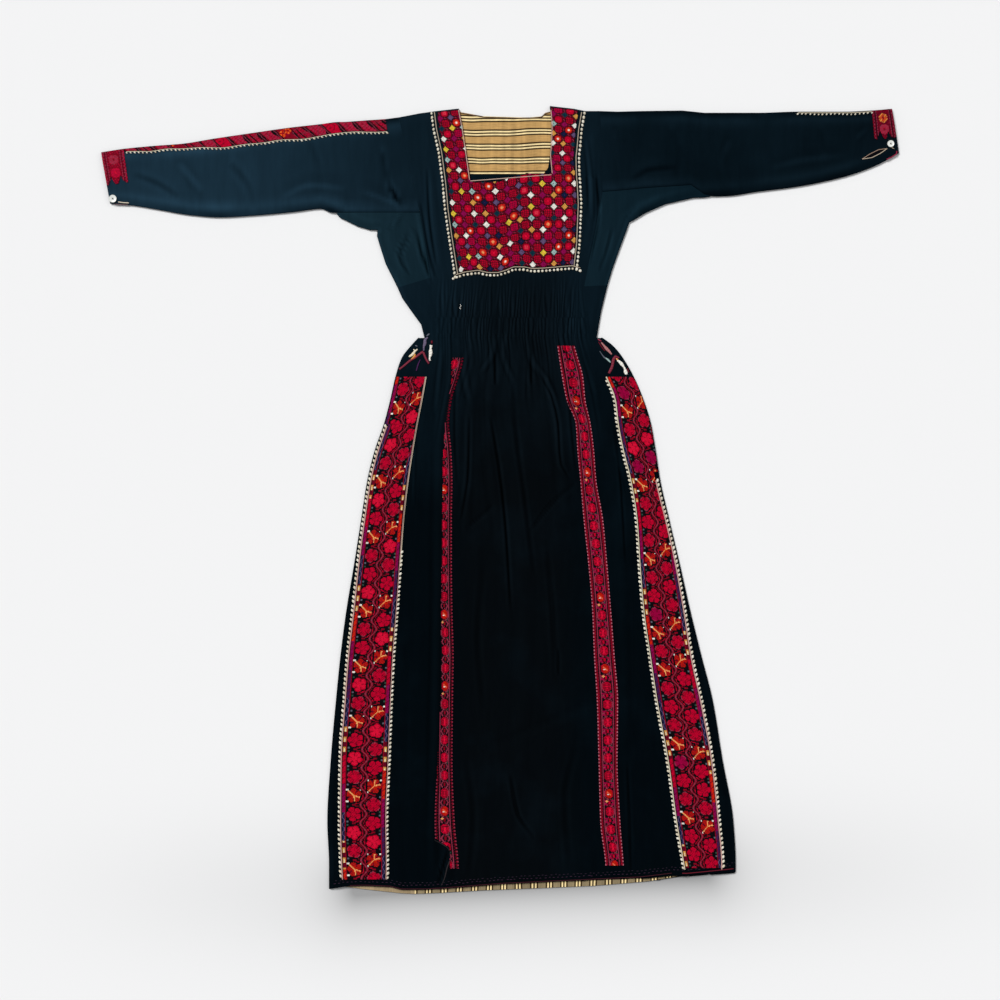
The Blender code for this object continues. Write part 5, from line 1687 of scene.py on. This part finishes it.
def make_hem_stitches():
    heap = Heap()
    hand = np.random.default_rng(71)
    for row, (rise, colour) in enumerate(((8.0, (58, 36, 58)), (12.5, (44, 30, 48)))):
        for spot in np.arange(-290, 404, 7.5):
            start = spot + hand.normal(0, 0.8) + 3 * row
            ends = np.array([start, start + 3.4 + hand.normal(0, 0.5)])
            heap.cord(hem_line(ends, rise - hand.normal(0, 0.5)), 0.5, colour, 0.2, 2.0, high=0.3)
    heap.cord(hem_line(np.linspace(318, 408, 30), 2.4), 0.7, (112, 24, 42), 0.5)
    heap.cord(hem_line(np.linspace(-262, 300, 120), 1.9), 0.6, (64, 22, 34), 0.5)
    heap.piece("hem_stitch_threads", "cloth")


def make_stray_thread():
    """A thread end left on the front, and the frayed edge of the fold at the left band's foot."""
    heap = Heap()
    path = smooth_path(((-69.5, 347.5), (-68, 350.5), (-70.5, 354), (-68, 356)), 14)
    heap.cord(path, 0.5, (224, 222, 214), 0.8, 1.0)
    heap.piece("stray_thread", "cloth")
    heap = Heap()
    path = smooth_path(((-114, 1283), (-100, 1290), (-90, 1297), (-86, 1312), (-92, 1330), (-97, 1350), (-103, 1362)))
    heap.cord(path, (0.5, 0.9, 1.5, 1.2, 0.7), (34, 30, 33), 0.5, 1.6)
    heap.piece("frayed_fold", "cloth")


# ---- what can be changed in the sidebar ----
def colour_field(name, description, value):
    return bpy.props.FloatVectorProperty(name=name, description=description, subtype="COLOR_GAMMA", size=3, min=0,
                                         max=1, default=tuple(part / 255 for part in value))


def size_field(name, description, value):
    return bpy.props.FloatProperty(name=name, description=description, subtype="DISTANCE", unit="LENGTH",
                                   default=value, min=0, max=1)


def share_field(name, description, value):
    return bpy.props.FloatProperty(name=name, description=description, subtype="FACTOR", default=value, min=0, max=2)


class ThobeCloth(bpy.types.PropertyGroup):
    dye: colour_field("Dye", "Indigo black of the skirt and bodice", (3, 8, 12))
    # faded and gusset faded: the paler colours the cloth is mixed towards, up and to the left, partly faded cloth and
    # partly painted light
    faded: colour_field("Faded", "The same cloth where sun and wear have paled it", (24, 44, 57))
    gusset_dye: colour_field("Gusset dye", "Cotton under the arms", (7, 21, 29))
    gusset_faded: colour_field("Gusset faded", "Paled cotton under the arms", (28, 50, 60))
    ground: colour_field("Band ground", "Cotton that the bands are worked on", (9, 8, 13))
    wrinkles: share_field("Fine wrinkles", "How strongly the cloth is creased in the small", 1.0)


class ThobeThreads(bpy.types.PropertyGroup):
    gap: share_field("Stitch gap", "How dark the gaps between crossed threads are", 0.30)
    plies: share_field("Plies", "Twist of the cords, in turns for each width", 1.0)
    depth: share_field("Ply depth", "How dark the grooves of the cords are", 0.30)


class ThobeButtons(bpy.types.PropertyGroup):
    radius: size_field("Radius", "Half the width of a cuff button", 0.0066)
    height: size_field("Height", "Thickness of a cuff button", 0.0024)
    rim: size_field("Rim", "Width of the raised rim", 0.0013)
    hole: size_field("Hole", "Half the width of a thread hole", 0.00062)
    pearl: colour_field("Pearl", "Colour of the buttons", (236, 238, 232))


class ThobeStage(bpy.types.PropertyGroup):
    floor: colour_field("Floor", "Colour of the floor", (231, 231, 231))
    key: bpy.props.FloatProperty(name="Key", description="Strength of the key light", default=2.75, min=0, max=20)
    key_spread: bpy.props.FloatProperty(name="Key softness", description="Spread of the key light", subtype="ANGLE",
                                        unit="ROTATION", default=math.radians(20), min=0, max=math.pi)
    fill: bpy.props.FloatProperty(name="Fill", description="Strength of the fill light", default=0.35, min=0, max=20)
    air: bpy.props.FloatProperty(name="Air", description="Strength of the room's own light", default=0.36, min=0, max=5)
    lens: bpy.props.FloatProperty(name="Lens", description="Focal length, in millimetres", subtype="DISTANCE_CAMERA",
                                  default=60, min=10, max=300)


# ---- one operator for each piece or group of like pieces ----
class THOBE_OT_skirt(bpy.types.Operator):
    """Cut the front and back of the skirt, gathered to the waist"""
    bl_idname = "thobe.skirt"
    bl_label = "Skirt front and back"

    def execute(self, context):
        make_skirt_back()
        make_skirt_front()
        return {"FINISHED"}


class THOBE_OT_side_panels(bpy.types.Operator):
    """Cut the flared panels that run round the skirt's folded edges"""
    bl_idname = "thobe.side_panels"
    bl_label = "Skirt side panels"

    def execute(self, context):
        for side in ("left", "right"):
            make_side_panel(side)
        return {"FINISHED"}


class THOBE_OT_bodice(bpy.types.Operator):
    """Cut the front, the back and the small side pieces of the bodice"""
    bl_idname = "thobe.bodice"
    bl_label = "Bodice"

    def execute(self, context):
        make_back_bodice()
        make_front_bodice()
        for side in ("left", "right"):
            make_wrapped("side_bodice_" + side, SIDE_BODICES[side], "navy_sateen", "cloth")
        return {"FINISHED"}


class THOBE_OT_gussets(bpy.types.Operator):
    """Cut the gussets under the arms"""
    bl_idname = "thobe.gussets"
    bl_label = "Underarm gussets"

    def execute(self, context):
        for side in ("left", "right"):
            make_wrapped("gusset_" + side, GUSSETS[side], "teal_gusset_cotton", "gusset")
        return {"FINISHED"}


class THOBE_OT_sleeves(bpy.types.Operator):
    """Cut both sleeves, each a flattened tube with an open cuff"""
    bl_idname = "thobe.sleeves"
    bl_label = "Sleeves"

    def execute(self, context):
        for side in ("left", "right"):
            make_sleeve(side)
        return {"FINISHED"}


class THOBE_OT_facings(bpy.types.Operator):
    """Cut the striped facings inside the neck and the hem"""
    bl_idname = "thobe.facings"
    bl_label = "Striped facings"

    def execute(self, context):
        make_neck_facing()
        make_hem_facing()
        return {"FINISHED"}


class THOBE_OT_chest_panel(bpy.types.Operator):
    """Work the chest panel and its straps in cross stitch"""
    bl_idname = "thobe.chest_panel"
    bl_label = "Chest panel"

    def execute(self, context):
        make_chest_panel()
        return {"FINISHED"}


class THOBE_OT_wide_bands(bpy.types.Operator):
    """Work the wide bands of rosettes down the sides of the skirt"""
    bl_idname = "thobe.wide_bands"
    bl_label = "Wide bands"

    def execute(self, context):
        make_wide_band("left", 1351)
        make_wide_band("right", 1331)
        return {"FINISHED"}


class THOBE_OT_narrow_bands(bpy.types.Operator):
    """Work the narrow bands down the front of the skirt"""
    bl_idname = "thobe.narrow_bands"
    bl_label = "Narrow bands"

    def execute(self, context):
        for side in ("left", "right"):
            make_narrow_band(side)
        return {"FINISHED"}


class THOBE_OT_sleeve_bands(bpy.types.Operator):
    """Work the band along the left sleeve and the bands at both cuffs"""
    bl_idname = "thobe.sleeve_bands"
    bl_label = "Sleeve and cuff bands"

    def execute(self, context):
        make_sleeve_band()
        make_cuff_band("left", 60)
        make_cuff_band("right", 52)
        return {"FINISHED"}


class THOBE_OT_braids(bpy.types.Operator):
    """Lay the cords and bead stitches round the chest, beside the wide bands and along the sleeves"""
    bl_idname = "thobe.braids"
    bl_label = "Braids and cords"

    def execute(self, context):
        make_chest_braid()
        make_neck_piping()
        for side in ("left", "right"):
            make_wide_braids(side)
        make_sleeve_braids()
        return {"FINISHED"}


class THOBE_OT_hip_motifs(bpy.types.Operator):
    """Lay the satin stitch motifs at both hips"""
    bl_idname = "thobe.hip_motifs"
    bl_label = "Hip motifs"

    def execute(self, context):
        for side in ("left", "right"):
            make_hip_motifs(side)
        return {"FINISHED"}


class THOBE_OT_slits(bpy.types.Operator):
    """Pipe the slits at both cuffs"""
    bl_idname = "thobe.slits"
    bl_label = "Cuff slits"

    def execute(self, context):
        make_slits()
        return {"FINISHED"}


class THOBE_OT_buttons(bpy.types.Operator):
    """Turn the two cuff buttons and sew them on"""
    bl_idname = "thobe.buttons"
    bl_label = "Cuff buttons"

    def execute(self, context):
        for side in ("left", "right"):
            make_button(side, context.scene.thobe_buttons)
        return {"FINISHED"}


class THOBE_OT_hem_threads(bpy.types.Operator):
    """Lay the running stitches of the hem and one thread end left on the front"""
    bl_idname = "thobe.hem_threads"
    bl_label = "Hem stitches"

    def execute(self, context):
        make_hem_stitches()
        make_stray_thread()
        return {"FINISHED"}


VIEW_WIDTH = 1.75  # metres of floor across the view
SENSOR_WIDTH = 36


class THOBE_OT_stage(bpy.types.Operator):
    """Set the floor, the lights and the camera straight above"""
    bl_idname = "thobe.stage"
    bl_label = "Floor, lights and camera"

    def execute(self, context):
        scene, sizes = context.scene, context.scene.thobe_stage
        scene.view_settings.view_transform = "Standard"
        bpy.ops.object.select_all(action="DESELECT")
        bpy.ops.mesh.primitive_plane_add(size=60, location=(0, 0, -0.0006))
        floor = context.object
        floor.name = floor.data.name = "floor"
        bpy.ops.object.transform_apply(location=True, rotation=True, scale=True)
        floor.data.materials.append(finish_named("floor_paper"))
        world = bpy.data.worlds.new("room_air")
        world.use_nodes = True
        Nodes(world.node_tree).put(world.node_tree.nodes["Background"], Color=(0.97, 0.98, 1.0, 1), Strength=sizes.air)
        scene.world = world
        for name, place, power, spread in (("key", (-0.55, 0.60, 1.05), sizes.key, sizes.key_spread),
                                           ("fill", (0.7, 0.25, 1.0), sizes.fill, math.radians(40))):
            lamp = bpy.data.lights.new(name, "SUN")
            lamp.energy, lamp.angle = power, spread
            light = bpy.data.objects.new(name, lamp)
            scene.collection.objects.link(light)
            light.location = place
            light.rotation_euler = (-Vector(place)).to_track_quat("-Z", "Y").to_euler()
        lens = bpy.data.cameras.new("camera")
        lens.lens, lens.sensor_width, lens.clip_end = sizes.lens, SENSOR_WIDTH, 50
        camera = bpy.data.objects.new("camera", lens)
        scene.collection.objects.link(camera)
        camera.location = (0, 0, VIEW_WIDTH * sizes.lens / SENSOR_WIDTH)
        scene.camera = camera
        return {"FINISHED"}


MAKERS = (THOBE_OT_skirt, THOBE_OT_side_panels, THOBE_OT_bodice, THOBE_OT_gussets, THOBE_OT_sleeves, THOBE_OT_facings,
          THOBE_OT_chest_panel, THOBE_OT_wide_bands, THOBE_OT_narrow_bands, THOBE_OT_sleeve_bands, THOBE_OT_braids,
          THOBE_OT_hip_motifs, THOBE_OT_slits, THOBE_OT_buttons, THOBE_OT_hem_threads, THOBE_OT_stage)
FIELDS = (("thobe_cloth", ThobeCloth), ("thobe_threads", ThobeThreads), ("thobe_buttons", ThobeButtons),
          ("thobe_stage", ThobeStage))


class THOBE_PT_sidebar(bpy.types.Panel):
    """Sizes and colours, and a button for each piece"""
    bl_idname = "THOBE_PT_sidebar"
    bl_label = "Thobe"
    bl_space_type = "VIEW_3D"
    bl_region_type = "UI"
    bl_category = "Thobe"

    def draw(self, context):
        for name, kind in FIELDS:
            box = self.layout.box()
            box.label(text=name.split("_")[1].title())
            for field in kind.__annotations__:
                box.prop(getattr(context.scene, name), field)
        for maker in MAKERS:
            self.layout.operator(maker.bl_idname)


def register():
    for _, kind in FIELDS:
        bpy.utils.register_class(kind)
    for maker in (*MAKERS, THOBE_PT_sidebar):
        bpy.utils.register_class(maker)
    for name, kind in FIELDS:
        setattr(bpy.types.Scene, name, bpy.props.PointerProperty(type=kind))


def unregister():
    for name, _ in FIELDS:
        delattr(bpy.types.Scene, name)
    for maker in reversed((*MAKERS, THOBE_PT_sidebar)):
        bpy.utils.unregister_class(maker)
    for _, kind in reversed(FIELDS):
        bpy.utils.unregister_class(kind)


def main():
    register()
    for maker in MAKERS:
        group, step = maker.bl_idname.split(".")
        getattr(getattr(bpy.ops, group), step)()


if __name__ == "__main__":
    main()
